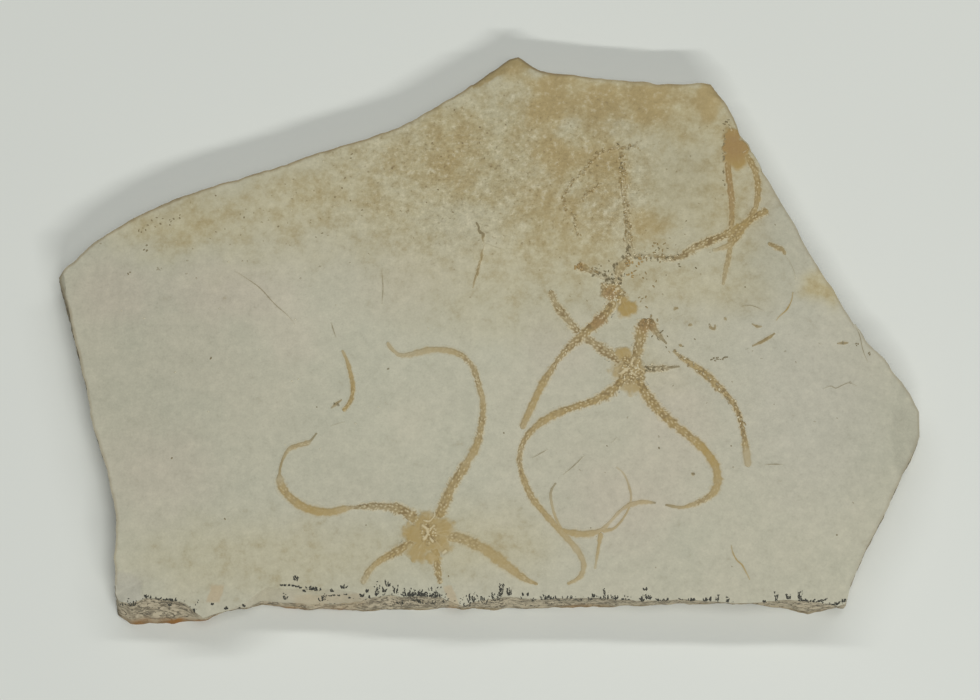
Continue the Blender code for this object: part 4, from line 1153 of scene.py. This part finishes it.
# the centre star: a rough disc, arms in high relief that cross the upper star's, and long thin tips
CENTRE_ARMS = (
    (((32.6, -8.2), (31.2, -6.9), (28.3, -4.9), (25.7, -3.1), (23.0, -1.2), (20.7, 1.2), (18.3, 4.2),
      (16.4, 7.1), (15.2, 10.3)),
     ((0.0, 2.5, 1.0, 0.7), (0.2, 2.4, 1.0, 0.6), (0.46, 2.0, 0.9, 0.6), (0.6, 1.8, 1.0, 0.55),
      (0.85, 1.6, 1.0, 0.5), (1.0, 1.3, 0.9, 0.4))),
    (((34.9, -7.8), (35.7, -6.2), (36.5, -3.2), (37.2, 0.0), (38.2, 3.1)),
     ((0.0, 2.6, 1.0, 0.8), (0.4, 2.4, 1.0, 0.75, 0.1), (0.7, 2.6, 1.0, 0.85), (1.0, 3.0, 1.0, 0.9))),
    (((38.2, 2.8), (39.4, 1.8), (40.4, 0.0), (41.8, -1.7), (43.2, -3.2)),
     ((0.0, 2.4, 1.0, 0.9), (0.25, 2.0, 1.0, 0.8), (0.5, 1.4, 0.9, 0.6, 0.2), (0.75, 0.9, 0.6, 0.5, 0.5),
      (1.0, 0.5, 0.2, 0.4, 0.8))),
    (((35.5, -9.4), (37.1, -9.4), (40.2, -9.4), (43.4, -9.1), (46.2, -8.8)),
     ((0.0, 2.2, 1.0, 0.5), (0.2, 1.6, 1.0, 0.4, 0.1), (0.7, 1.4, 1.0, 0.3, 0.15), (0.78, 0.7, 0.8, 0.2, 0.5),
      (1.0, 0.5, 0.5, 0.2, 0.6))),
    (((33.4, -10.7), (32.8, -11.9), (30.6, -14.2), (28.2, -16.0), (25.3, -17.5), (22.2, -18.5), (18.9, -19.6),
      (15.5, -21.1), (12.2, -23.3), (9.8, -25.7), (8.2, -28.8), (7.7, -32.2), (8.3, -35.4), (9.5, -38.8),
      (11.2, -42.0), (13.5, -44.9), (16.1, -47.9), (18.7, -50.8), (21.3, -54.0), (22.8, -57.1),
      (22.4, -59.8), (21.0, -61.2), (18.9, -62.2)),
     ((0.0, 2.6, 1.0, 0.9), (0.07, 2.3, 1.0, 0.85), (0.15, 1.9, 0.9, 0.85), (0.24, 1.6, 0.8, 0.85),
      (0.29, 1.9, 0.4, 0.85), (0.36, 1.7, 0.3, 0.8), (0.41, 1.3, 0.8, 0.75), (0.49, 1.1, 1.0, 0.65),
      (0.53, 1.2, 0.9, 0.75), (0.57, 1.5, 0.5, 0.8), (0.61, 1.6, 0.7, 0.75), (0.66, 1.5, 0.3, 0.8),
      (0.75, 1.3, 0.15, 0.75), (0.85, 1.5, 0.05, 0.55), (0.93, 1.3, 0.1, 0.6), (1.0, 0.7, 0.3, 0.7))),
    (((35.0, -10.8), (35.9, -12.2), (37.8, -15.4), (40.1, -18.6), (43.5, -22.1), (47.2, -25.3), (50.5, -28.1),
      (53.1, -31.2), (54.7, -34.7), (54.7, -38.1), (53.0, -40.8), (49.9, -42.5), (46.3, -43.6),
      (42.3, -43.0)),
     ((0.0, 2.6, 1.0, 0.9), (0.12, 2.4, 1.0, 0.85), (0.3, 2.2, 0.8, 0.85), (0.44, 2.0, 0.6, 0.85),
      (0.5, 2.0, 0.1, 0.95), (0.6, 2.1, 0.1, 0.9), (0.68, 2.1, 0.3, 0.8), (0.74, 1.9, 0.2, 0.8),
      (0.79, 1.4, 0.7, 0.7), (0.84, 1.3, 0.6, 0.65), (0.9, 0.9, 0.1, 0.75), (1.0, 0.5, 0.0, 0.6, 0.6))),
    (((40.1, -42.5), (37.0, -42.3), (33.9, -43.0), (31.6, -44.5), (29.2, -47.1), (26.8, -49.3), (23.2, -50.1),
      (20.1, -49.8), (17.5, -49.1)),
     ((0.0, 0.5, 0.0, 0.4, 0.8), (0.05, 0.8, 0.1, 0.6), (0.15, 1.2, 0.1, 0.6), (0.26, 1.2, 0.1, 0.6),
      (0.34, 0.8, 0.0, 0.55), (0.5, 0.7, 0.0, 0.5), (0.6, 1.1, 0.1, 0.6), (0.7, 1.7, 0.1, 0.7),
      (0.87, 1.7, 0.1, 0.75), (1.0, 1.0, 0.1, 0.75))),
    (((27.2, -49.3), (29.9, -48.8), (32.0, -46.7), (33.7, -43.7), (34.2, -40.8), (33.5, -37.6), (32.4, -35.2),
      (30.7, -33.7)),
     ((0.0, 1.2, 0.0, 0.7), (0.14, 0.6, 0.0, 0.65, 0.1), (0.3, 0.5, 0.0, 0.65, 0.1), (0.5, 0.5, 0.0, 0.6),
      (0.62, 0.55, 0.0, 0.5, 0.15), (0.8, 0.45, 0.0, 0.5, 0.1), (1.0, 0.4, 0.0, 0.25))),
    (((17.8, -49.3), (16.6, -46.9), (15.7, -44.2), (15.1, -40.8), (15.4, -39.1), (16.4, -37.6)),
     ((0.0, 0.8, 0.0, 0.7), (0.3, 0.6, 0.0, 0.6), (0.6, 0.6, 0.0, 0.5, 0.1), (0.8, 0.6, 0.0, 0.4, 0.4),
      (1.0, 0.45, 0.0, 0.3, 0.55))),
    (((27.0, -49.8), (26.5, -52.7), (26.0, -55.7), (25.5, -58.6)),
     ((0.0, 1.4, 0.0, 0.7), (0.3, 0.8, 0.0, 0.7), (0.6, 0.7, 0.0, 0.7), (1.0, 0.5, 0.0, 0.35))),
)
CROSSING = (((22.9, -1.2), 0.8, 2.0),)
CENTRE_PADS = (((31.4, -9.9), 2.3, 0.7), ((32.9, -5.9), 2.2, 0.9), ((34.4, -13.8), 2.4, 0.75))
CENTRE_STROKES = ((((34.9, -7.1), (34.7, -8.6), (36.2, -9.3)), 0.7), (((32.0, -10.6), (33.6, -9.4)), 0.8),
                  (((36.3, -9.3), (37.4, -10.0)), 0.7), (((34.6, -10.4), (35.6, -11.2)), 0.6))
CENTRE_GRAINS = (
    ("dark", 41.2, -0.6, 1.1, 1.1, 6), ("brown", 38.6, 2.4, 1.0, 1.0, 8), ("pale", 34.6, -9.2, 1.6, 1.4, 9),
    ("brown", 34.4, -9.4, 1.8, 1.8, 14), ("dark", 39.5, -9.4, 1.6, 0.4, 7), ("pale", 38.5, -9.3, 1.8, 0.5, 6),
    ("dark", 46.9, -3.8, 0.0, 0.0, 1),
)
fossil_piece("centre_star", "star_centre",
             [disc_skin((34.0, -9.4), 7.4, ((34.6, -9.8), 3.6, 3.4, 0.8), CENTRE_PADS, CENTRE_STROKES, 72)]
             + arm_skins(CENTRE_ARMS, 200, under=CROSSING, red=(((38.3, 1.8), 1.0, 3.4),)), CENTRE_GRAINS)

# the upper star: its disc half decayed, one smooth pad left, and an arm that lies over two neighbours
UPPER_ARMS = (
    (((30.8, 7.5), (29.8, 6.1), (27.6, 3.3), (25.2, 1.1), (22.8, -1.2), (19.9, -3.8), (17.2, -6.9),
      (15.1, -10.1), (13.2, -13.2), (11.5, -16.9), (9.8, -20.6), (8.3, -24.3)),
     ((0.0, 2.6, 1.0, 0.8), (0.12, 2.4, 1.0, 0.8), (0.22, 2.4, 1.0, 0.9), (0.32, 2.0, 1.0, 0.75),
      (0.42, 1.5, 1.0, 0.7), (0.5, 1.1, 1.0, 0.7), (0.58, 1.3, 0.9, 0.75), (0.65, 1.8, 0.5, 0.8),
      (0.7, 1.9, 0.2, 0.85), (0.9, 1.8, 0.25, 0.8), (1.0, 1.4, 0.2, 0.6))),
    (((30.4, 11.8), (29.2, 13.1), (26.5, 14.5), (24.1, 15.6), (21.7, 16.6)),
     ((0.0, 1.6, 0.7, 0.15, 0.1), (0.45, 1.3, 0.6, 0.1, 0.1), (0.7, 1.5, 0.8, 0.4),
      (0.85, 2.0, 0.9, 0.8), (1.0, 2.1, 0.9, 0.9))),
    (((31.8, 11.8), (31.8, 15.1), (33.3, 17.4), (34.8, 19.4), (34.3, 22.5), (34.1, 26.5), (33.7, 31.1),
      (33.1, 35.7), (33.0, 40.8), (32.3, 46.7)),
     ((0.0, 1.8, 0.8, 0.3), (0.12, 1.9, 0.7, 0.5), (0.2, 2.0, 0.6, 0.3), (0.26, 1.6, 0.5, 0.05),
      (0.34, 1.5, 0.5, 0.15), (0.5, 1.4, 0.6, 0.25), (0.69, 1.4, 0.5, 0.25), (0.85, 1.2, 0.4, 0.05),
      (1.0, 1.0, 0.3, 0.0))),
    (((34.3, 18.4), (36.2, 18.9), (38.9, 18.9), (41.5, 18.7), (43.9, 18.3), (46.8, 18.8), (49.5, 20.6),
      (52.7, 22.2), (56.1, 23.6), (59.3, 25.1), (62.4, 27.0), (65.4, 29.1), (68.1, 30.5)),
     ((0.0, 1.6, 0.6, 0.3), (0.06, 1.0, 0.3, 0.0), (0.14, 1.0, 0.6, 0.0), (0.24, 1.2, 1.0, 0.3, 0.1),
      (0.34, 1.5, 1.0, 0.6, 0.1), (0.44, 1.9, 1.0, 0.6), (0.6, 2.0, 1.0, 0.7), (0.7, 1.9, 0.8, 0.8),
      (0.76, 2.1, 0.7, 0.85), (0.86, 1.9, 0.7, 0.85), (0.91, 1.7, 0.9, 0.8), (1.0, 1.5, 1.0, 0.8))),
)
UPPER_PADS = (((33.3, 5.6), 2.4, 1.0), ((32.4, 8.0), 1.6, 0.95), ((34.9, 5.6), 1.9, 1.0))
UPPER_STROKES = ((((31.5, 10.6), (30.6, 9.5)), 0.9), (((32.3, 8.4), (31.9, 7.0)), 0.6))
UPPER_GRAINS = (
    ("brown", 40.6, 21.9, 1.2, 0.5, 5), ("brown", 41.0, 19.5, 1.5, 1.1, 7), ("dark", 41.5, 19.6, 1.2, 0.8, 4),
    ("dark", 34.3, 19.8, 0.9, 0.8, 9), ("pale", 34.6, 19.6, 0.9, 0.8, 6), ("red", 36.6, 17.8, 0.8, 0.6, 8),
    ("red", 33.9, 17.0, 0.5, 0.5, 4), ("dark", 30.9, 16.3, 0.4, 0.8, 6), ("dark", 27.5, 14.4, 1.4, 0.9, 9),
    ("dark", 30.0, 12.9, 1.0, 0.8, 12), ("pale", 30.2, 12.3, 1.0, 0.8, 7), ("dark", 32.1, 13.5, 0.4, 0.9, 5),
    ("pale", 31.6, 11.4, 0.5, 1.1, 6), ("red", 30.0, 9.6, 0.8, 0.7, 9), ("pale", 30.4, 8.6, 0.9, 0.9, 6),
    ("red", 34.6, 13.6, 0.6, 0.4, 5), ("brown", 38.6, 13.5, 1.6, 1.4, 5), ("brown", 37.4, 8.0, 0.7, 0.8, 5),
    ("brown", 33.0, 9.8, 0.4, 0.8, 5), ("brown", 25.2, 14.9, 0.8, 0.4, 5), ("red", 22.1, 16.2, 0.5, 0.5, 8),
    ("dark", 32.6, 44.0, 0.4, 1.6, 5), ("dark", 46.5, 16.3, 0.0, 0.0, 1), ("dark", 50.4, 15.9, 0.0, 0.0, 1),
)
UPRIGHT_ARM, RIGHT_ARM = UPPER_ARMS[2][0], UPPER_ARMS[3][0]
UPPER_GRAINS += trail(UPRIGHT_ARM[4:], ("fleck", "brown", "crumb", "pale", "crumb", "crumb"), 0.26, 0.5)
UPPER_GRAINS += trail(RIGHT_ARM[:6], ("brown", "pale", "crumb", "dark"), 0.45, 0.4)
fossil_piece("upper_star", "star_upper",
             [disc_skin((32.0, 9.1), 7.0, ((30.0, 10.0), 2.5, 2.6, 0.7), UPPER_PADS, UPPER_STROKES, 73,
                        red=(((29.6, 9.4), 0.8, 2.6),), softness=0.8)]
             + arm_skins(UPPER_ARMS, 300, over=CROSSING,
                         red=(((21.7, 16.6), 0.8, 2.2), ((26.8, 2.4), 1.0, 3.4))), UPPER_GRAINS)

# the star at the edge: the slab's broken rim has cut its smooth brown disc, and two arms hang down from it
EDGE_ARMS = (
    (((58.8, 44.4), (58.6, 40.3), (59.0, 36.7), (59.3, 32.6), (59.3, 28.8), (59.0, 25.3), (58.7, 21.5),
      (58.2, 17.9), (57.4, 14.6), (56.9, 11.6)),
     ((0.0, 1.7, 0.3, 0.95), (0.2, 1.6, 0.5, 0.8), (0.35, 1.3, 0.5, 0.65), (0.5, 1.2, 0.6, 0.65),
      (0.62, 1.4, 0.7, 0.7), (0.72, 1.1, 0.5, 0.7), (0.85, 1.2, 0.5, 0.55), (1.0, 0.8, 0.4, 0.4))),
    (((62.6, 45.1), (64.6, 41.8), (65.5, 39.0), (65.7, 35.7), (65.4, 32.4), (64.3, 29.6), (62.7, 26.8),
      (60.7, 24.2), (58.7, 21.8), (56.0, 20.7), (54.4, 20.4)),
     ((0.0, 1.7, 0.7, 0.9), (0.2, 1.4, 0.7, 0.75), (0.35, 1.4, 0.7, 0.75), (0.5, 1.3, 0.7, 0.7),
      (0.65, 1.4, 0.6, 0.8), (0.8, 1.6, 0.6, 0.8), (0.9, 1.3, 0.3, 0.6), (1.0, 0.8, 0.2, 0.3))),
)
EDGE_PADS = (((60.9, 43.4), 2.6, 1.0), ((59.7, 49.6), 2.1, 1.0), ((59.6, 46.6), 2.2, 1.0),
             ((61.8, 46.2), 2.4, 1.0), ((59.4, 43.9), 2.0, 1.0))
EDGE_STROKES = ((((62.3, 45.2), (63.4, 45.9)), 0.35), (((59.2, 52.0), (59.5, 50.9)), 0.5))
EDGE_GRAINS = (("speck", 57.6, 47.5, 0.25, 3.2, 12), ("dark", 58.8, 53.2, 0.5, 0.6, 5),
               ("speck", 57.4, 40.5, 0.2, 2.0, 5))
EDGE_CROSSING = (((63.0, 27.0), 1.2, 2.4), ((59.2, 25.1), 1.2, 2.4))
fossil_piece("edge_star", "star_edge",
             [disc_skin((59.8, 46.6), 7.6, ((59.8, 46.6), 2.6, 0.1, 1.0), EDGE_PADS, EDGE_STROKES, 74,
                        red=(((60.0, 47.0), 1.0, 7.0),), softness=0.5)]
             + arm_skins(EDGE_ARMS, 400, under=EDGE_CROSSING, red=(((54.0, 36.0), 0.0, 15.0),)), EDGE_GRAINS)

# loose pieces of arm, shed before burial, each lying by itself
LOOSE_ARMS = {
    "arm_piece_right": (((44.6, -4.9), (47.0, -6.9), (49.6, -8.7), (52.5, -10.9), (55.3, -13.8),
                         (58.1, -16.8), (60.0, -20.4), (61.1, -24.8), (61.7, -29.3), (62.2, -33.7)),
                        ((0.0, 0.5, 0.2, 0.6, 0.3), (0.09, 1.1, 0.5, 0.75), (0.18, 1.7, 0.4, 0.85),
                         (0.28, 1.9, 0.8, 0.85), (0.4, 1.7, 0.8, 0.8), (0.51, 1.4, 0.9, 0.8),
                         (0.62, 1.1, 1.0, 0.8), (0.75, 1.2, 0.8, 0.75), (0.85, 1.7, 0.6, 0.75),
                         (0.9, 1.8, 0.05, 0.55), (1.0, 1.6, 0.0, 0.5))),
    "arm_tip_right": (((63.6, -3.8), (65.8, -2.7), (67.5, -1.7), (69.2, -0.5)),
                      ((0.0, 0.3, 0.3, 0.6, 0.4), (0.35, 0.7, 0.5, 0.85, 0.4), (0.75, 0.7, 0.5, 0.85, 0.35),
                       (1.0, 0.3, 0.3, 0.7, 0.5))),
    "arm_scrap_right": (((67.9, 22.2), (69.8, 21.2), (71.5, 20.4), (72.0, 19.2)),
                        ((0.0, 0.9, 0.8, 0.7, 0.2), (0.6, 1.0, 0.9, 0.8, 0.2), (1.0, 0.6, 0.6, 0.6, 0.1))),
    "arm_piece_left": (((-34.8, -4.7), (-33.6, -7.4), (-32.6, -10.9), (-32.1, -14.7), (-32.8, -17.6),
                        (-34.4, -19.9)),
                       ((0.0, 0.6, 0.1, 0.6), (0.3, 1.0, 0.2, 0.85), (0.6, 1.0, 0.3, 0.9),
                        (0.85, 1.0, 0.5, 0.9), (1.0, 0.9, 0.6, 0.9))),
    "arm_piece_upper_left": (((-2.7, 27.5), (-2.0, 26.3), (-2.0, 25.4), (-0.9, 24.3), (-1.1, 23.2),
                              (-0.7, 21.6), (-1.3, 19.9), (-1.4, 18.4), (-2.1, 16.2), (-2.3, 14.7),
                              (-3.0, 12.8), (-3.4, 10.8)),
                             ((0.0, 0.4, 0.3, 0.3, 0.8), (0.2, 0.7, 0.6, 0.6, 0.8),
                              (0.26, 0.6, 0.8, 0.6, 0.4), (0.34, 0.3, 0.8, 0.0), (0.42, 0.3, 0.4, 0.1),
                              (0.5, 0.6, 0.8, 0.6, 0.2), (0.8, 0.6, 0.6, 0.6, 0.2),
                              (1.0, 0.35, 0.2, 0.4, 0.1))),
}
LONGEST_PIECE = LOOSE_ARMS["arm_piece_right"][0]
SHED_GRAINS = {"arm_piece_right": trail(LONGEST_PIECE[:-2], ("crumb", "brown", "pale"), 0.7, 0.4)}
for (node, _), skin in zip(LOOSE_ARMS.items(), arm_skins(LOOSE_ARMS.values(), 500)):
    fossil_piece(node.replace("arm", "loose_arm"), node, [skin], SHED_GRAINS.get(node, ()))

# ---- Small marks in the stone -----------------------------------------------------------------------------
# Healed cracks and brown specks: thin fillings that stand flush with the face of the slab, in the same
# calcite and iron as the fossils.  The faint print of an arm is a low impression drawn in the same way, in
# pale and dark marks: painted light and shade for its lit and shaded sides.

HAIR_CRACKS = (
    ((-60.8, 15.1), (-58.2, 13.4), (-54.7, 10.8), (-51.1, 6.8), (-48.1, 4.1), (-46.2, 1.8)),
    ((-25.4, 15.4), (-25.1, 11.1), (-25.3, 6.8)), ((-37.5, 2.3), (-36.9, 0.2), (-36.3, -1.5)),
    ((80.4, -14.4), (82.2, -13.7), (83.5, -14.2), (85.2, -13.4), (86.8, -12.9), (88.6, -13.7)),
    ((18.1, -35.6), (20.6, -33.4), (23.3, -30.7)), ((61.3, 6.2), (63.1, 6.5), (64.7, 6.1), (66.4, 5.2)),
    ((10.7, -31.5), (12.6, -30.4), (14.5, -29.3)),
    ((88.3, 1.7), (89.5, -1.0), (90.2, -4.7), (91.3, -7.8)), ((66.0, -33.2), (68.0, -33.0), (70.5, -33.1)),
)
FAINT_CRACKS = (
    ((-37.3, -23.6), (-35.4, -22.9), (-33.9, -22.6)), ((61.9, -4.6), (62.4, -4.5), (62.8, -4.2)),
    ((29.6, -27.8), (30.2, -27.2), (31.0, -26.3)), ((79.5, -3.0), (80.0, -3.2), (80.4, -3.2)),
    ((-0.5, 22.2), (2.0, 21.2), (4.4, 20.4)),
    ((72.0, 19.0), (73.1, 17.4), (74.1, 14.9), (74.4, 13.0)),
)
# scraps of arm a millimetre or two long, brown like the arms
SCRAPS = (
    ((-37.3, -19.2), (-36.1, -18.1), (-34.7, -17.0)), ((44.9, 5.2), (45.4, 5.7), (46.1, 5.8)),
    ((48.3, 1.3), (48.8, 1.6), (49.4, 1.6)), ((53.4, 1.9), (53.9, 0.8), (54.7, 0.7), (54.8, 1.7)),
    ((57.0, 3.5), (57.6, 2.7)), ((63.6, 1.9), (64.9, 1.2), (66.1, 1.2)), ((84.0, -3.1), (86.8, -2.9)),
    ((46.0, -3.3), (46.9, -3.8)), ((48.5, -35.3), (49.5, -35.5)),
)
IRON_VEINS = (
    ((73.7, 9.9), (73.3, 7.7), (72.1, 5.4), (70.3, 3.7), (69.5, 2.6)),
    ((57.8, -52.7), (58.2, -54.7), (59.1, -56.4), (60.3, -57.6), (61.2, -59.3), (62.1, -61.2)),
)
ARM_PRINTS = (
    ((36.7, 46.7), (33.6, 46.7), (29.7, 45.9), (26.2, 44.1), (23.5, 40.3), (20.9, 38.0), (18.7, 34.7),
     (18.6, 31.9), (20.8, 29.1), (21.3, 26.3), (22.0, 24.0)),
    ((27.2, 37.0), (24.2, 34.7), (22.5, 32.9)),
)
SPECKS = (
    (-36.9, 33.9), (-34.5, 38.8), (-35.2, 36.2), (-30.3, 30.6), (-41.4, 23.7), (-39.9, 24.7), (-32.9, 44.9),
    (0.0, 50.3), (10.9, 51.1), (-83.3, 26.0), (-82.2, 21.7), (-76.8, 26.8), (-74.4, 29.3), (85.5, -3.0),
    (89.1, -3.2), (91.6, -5.4), (-62.2, -46.4), (-75.1, -31.5), (82.9, -50.3), (-9.1, -60.3), (-28.7, -47.9),
    (-23.7, -9.4), (-40.7, -18.9), (29.4, 17.7), (27.5, 16.4), (26.0, 15.4), (43.2, 14.1), (46.3, 16.9),
    (48.2, 27.8), (62.2, 11.1), (49.9, -2.0), (58.2, -28.5),
    (58.6, -33.7), (41.0, -29.0), (49.2, -35.4), (4.0, -25.3), (8.1, -32.2), (28.6, -28.5), (24.6, -48.6),
)
# dark spots painted as the shade in pits, and pale flecks, where iron has roughened the stone
WEATHERED = (
    ("fleck", 10.0, 46.0, 14.0, 9.0, 80), ("pit_shade", 8.0, 45.0, 14.0, 8.0, 70),
    ("speck", -2.0, 45.0, 18.0, 8.0, 12), ("fleck", -24.0, 38.0, 14.0, 6.0, 60),
    ("pit_shade", -30.0, 36.0, 16.0, 6.0, 50), ("speck", -34.0, 34.0, 16.0, 6.0, 8),
    ("fleck", 38.0, 34.0, 9.0, 12.0, 22), ("pit_shade", 44.0, 32.0, 12.0, 12.0, 26),
    ("pit_shade", 20.0, 20.0, 20.0, 6.0, 40), ("fleck", -50.0, -5.0, 20.0, 20.0, 20),
    ("pit_shade", 60.0, -15.0, 18.0, 22.0, 24), ("pit_shade", -60.0, 22.0, 14.0, 5.0, 24),
    ("speck", -78.0, 27.6, 2.6, 0.9, 10), ("speck", -83.8, 25.6, 0.5, 0.5, 4),
    ("speck", -82.2, 21.2, 0.3, 0.6, 4), ("speck", -86.5, 14.5, 0.4, 0.4, 3),
    ("pit_shade", -79.0, 15.5, 0.7, 0.25, 6), ("speck", -66.2, -6.6, 0.3, 0.3, 3),
    ("speck", -36.2, -18.3, 0.5, 0.2, 4), ("speck", 91.8, -5.4, 0.4, 0.6, 3),
    ("speck", 89.1, -3.4, 0.4, 0.3, 2),
)
CRACK_LOOK = ((0.0, 0.14, 0, 0.1, 0.1), (0.3, 0.22, 0, 0.2, 0.6), (0.7, 0.22, 0, 0.2, 0.6),
              (1.0, 0.12, 0, 0.1, 0.1))
FAINT_LOOK = ((0.0, 0.12, 0, 0.1, 0.1), (0.5, 0.18, 0, 0.1, 0.3), (1.0, 0.12, 0, 0.1, 0.1))
SCRAP_LOOK = ((0.0, 0.25, 0.3, 0.4, 0.3), (0.5, 0.75, 0.6, 0.7, 0.4), (1.0, 0.3, 0.3, 0.5, 0.3))
VEIN_LOOK = ((0.0, 0.2, 0, 0.5, 0.1), (0.5, 0.34, 0, 1.0, 0.1), (1.0, 0.2, 0, 0.5, 0.0))
# the print's pale marks are painted light for its low relief
PRINT_LIGHT_AND_SHADE_LOOK = ((0.0, 0.5, 0.4, 0.0), (0.4, 0.7, 0.6, 0.1), (1.0, 0.4, 0.3, 0.0))
marks = [(points, look) for lines, look in (
    (HAIR_CRACKS, CRACK_LOOK), (FAINT_CRACKS, FAINT_LOOK), (SCRAPS, SCRAP_LOOK), (IRON_VEINS, VEIN_LOOK),
    (ARM_PRINTS, PRINT_LIGHT_AND_SHADE_LOOK)) for points in lines]
PEPPERED = ((53.5, -7.1), (55.6, -6.8), (57.4, -6.4))
fields = tuple(("speck", x, y, 0.0, 0.0, 1) for x, y in SPECKS) + WEATHERED
# painted light and shade: pale and dark grains along the print stand for the lit and shaded sides of its
# relief
for points in ARM_PRINTS:
    fields += trail(points, ("crumb", "fleck", "crumb", "pit_shade", "fleck", "brown"), 0.38, 0.28)
fields += trail(PEPPERED, ("dark", "speck", "speck"), 0.28, 0.3)
fossil_piece("stone_marks", None, arm_skins(marks, 600), fields)
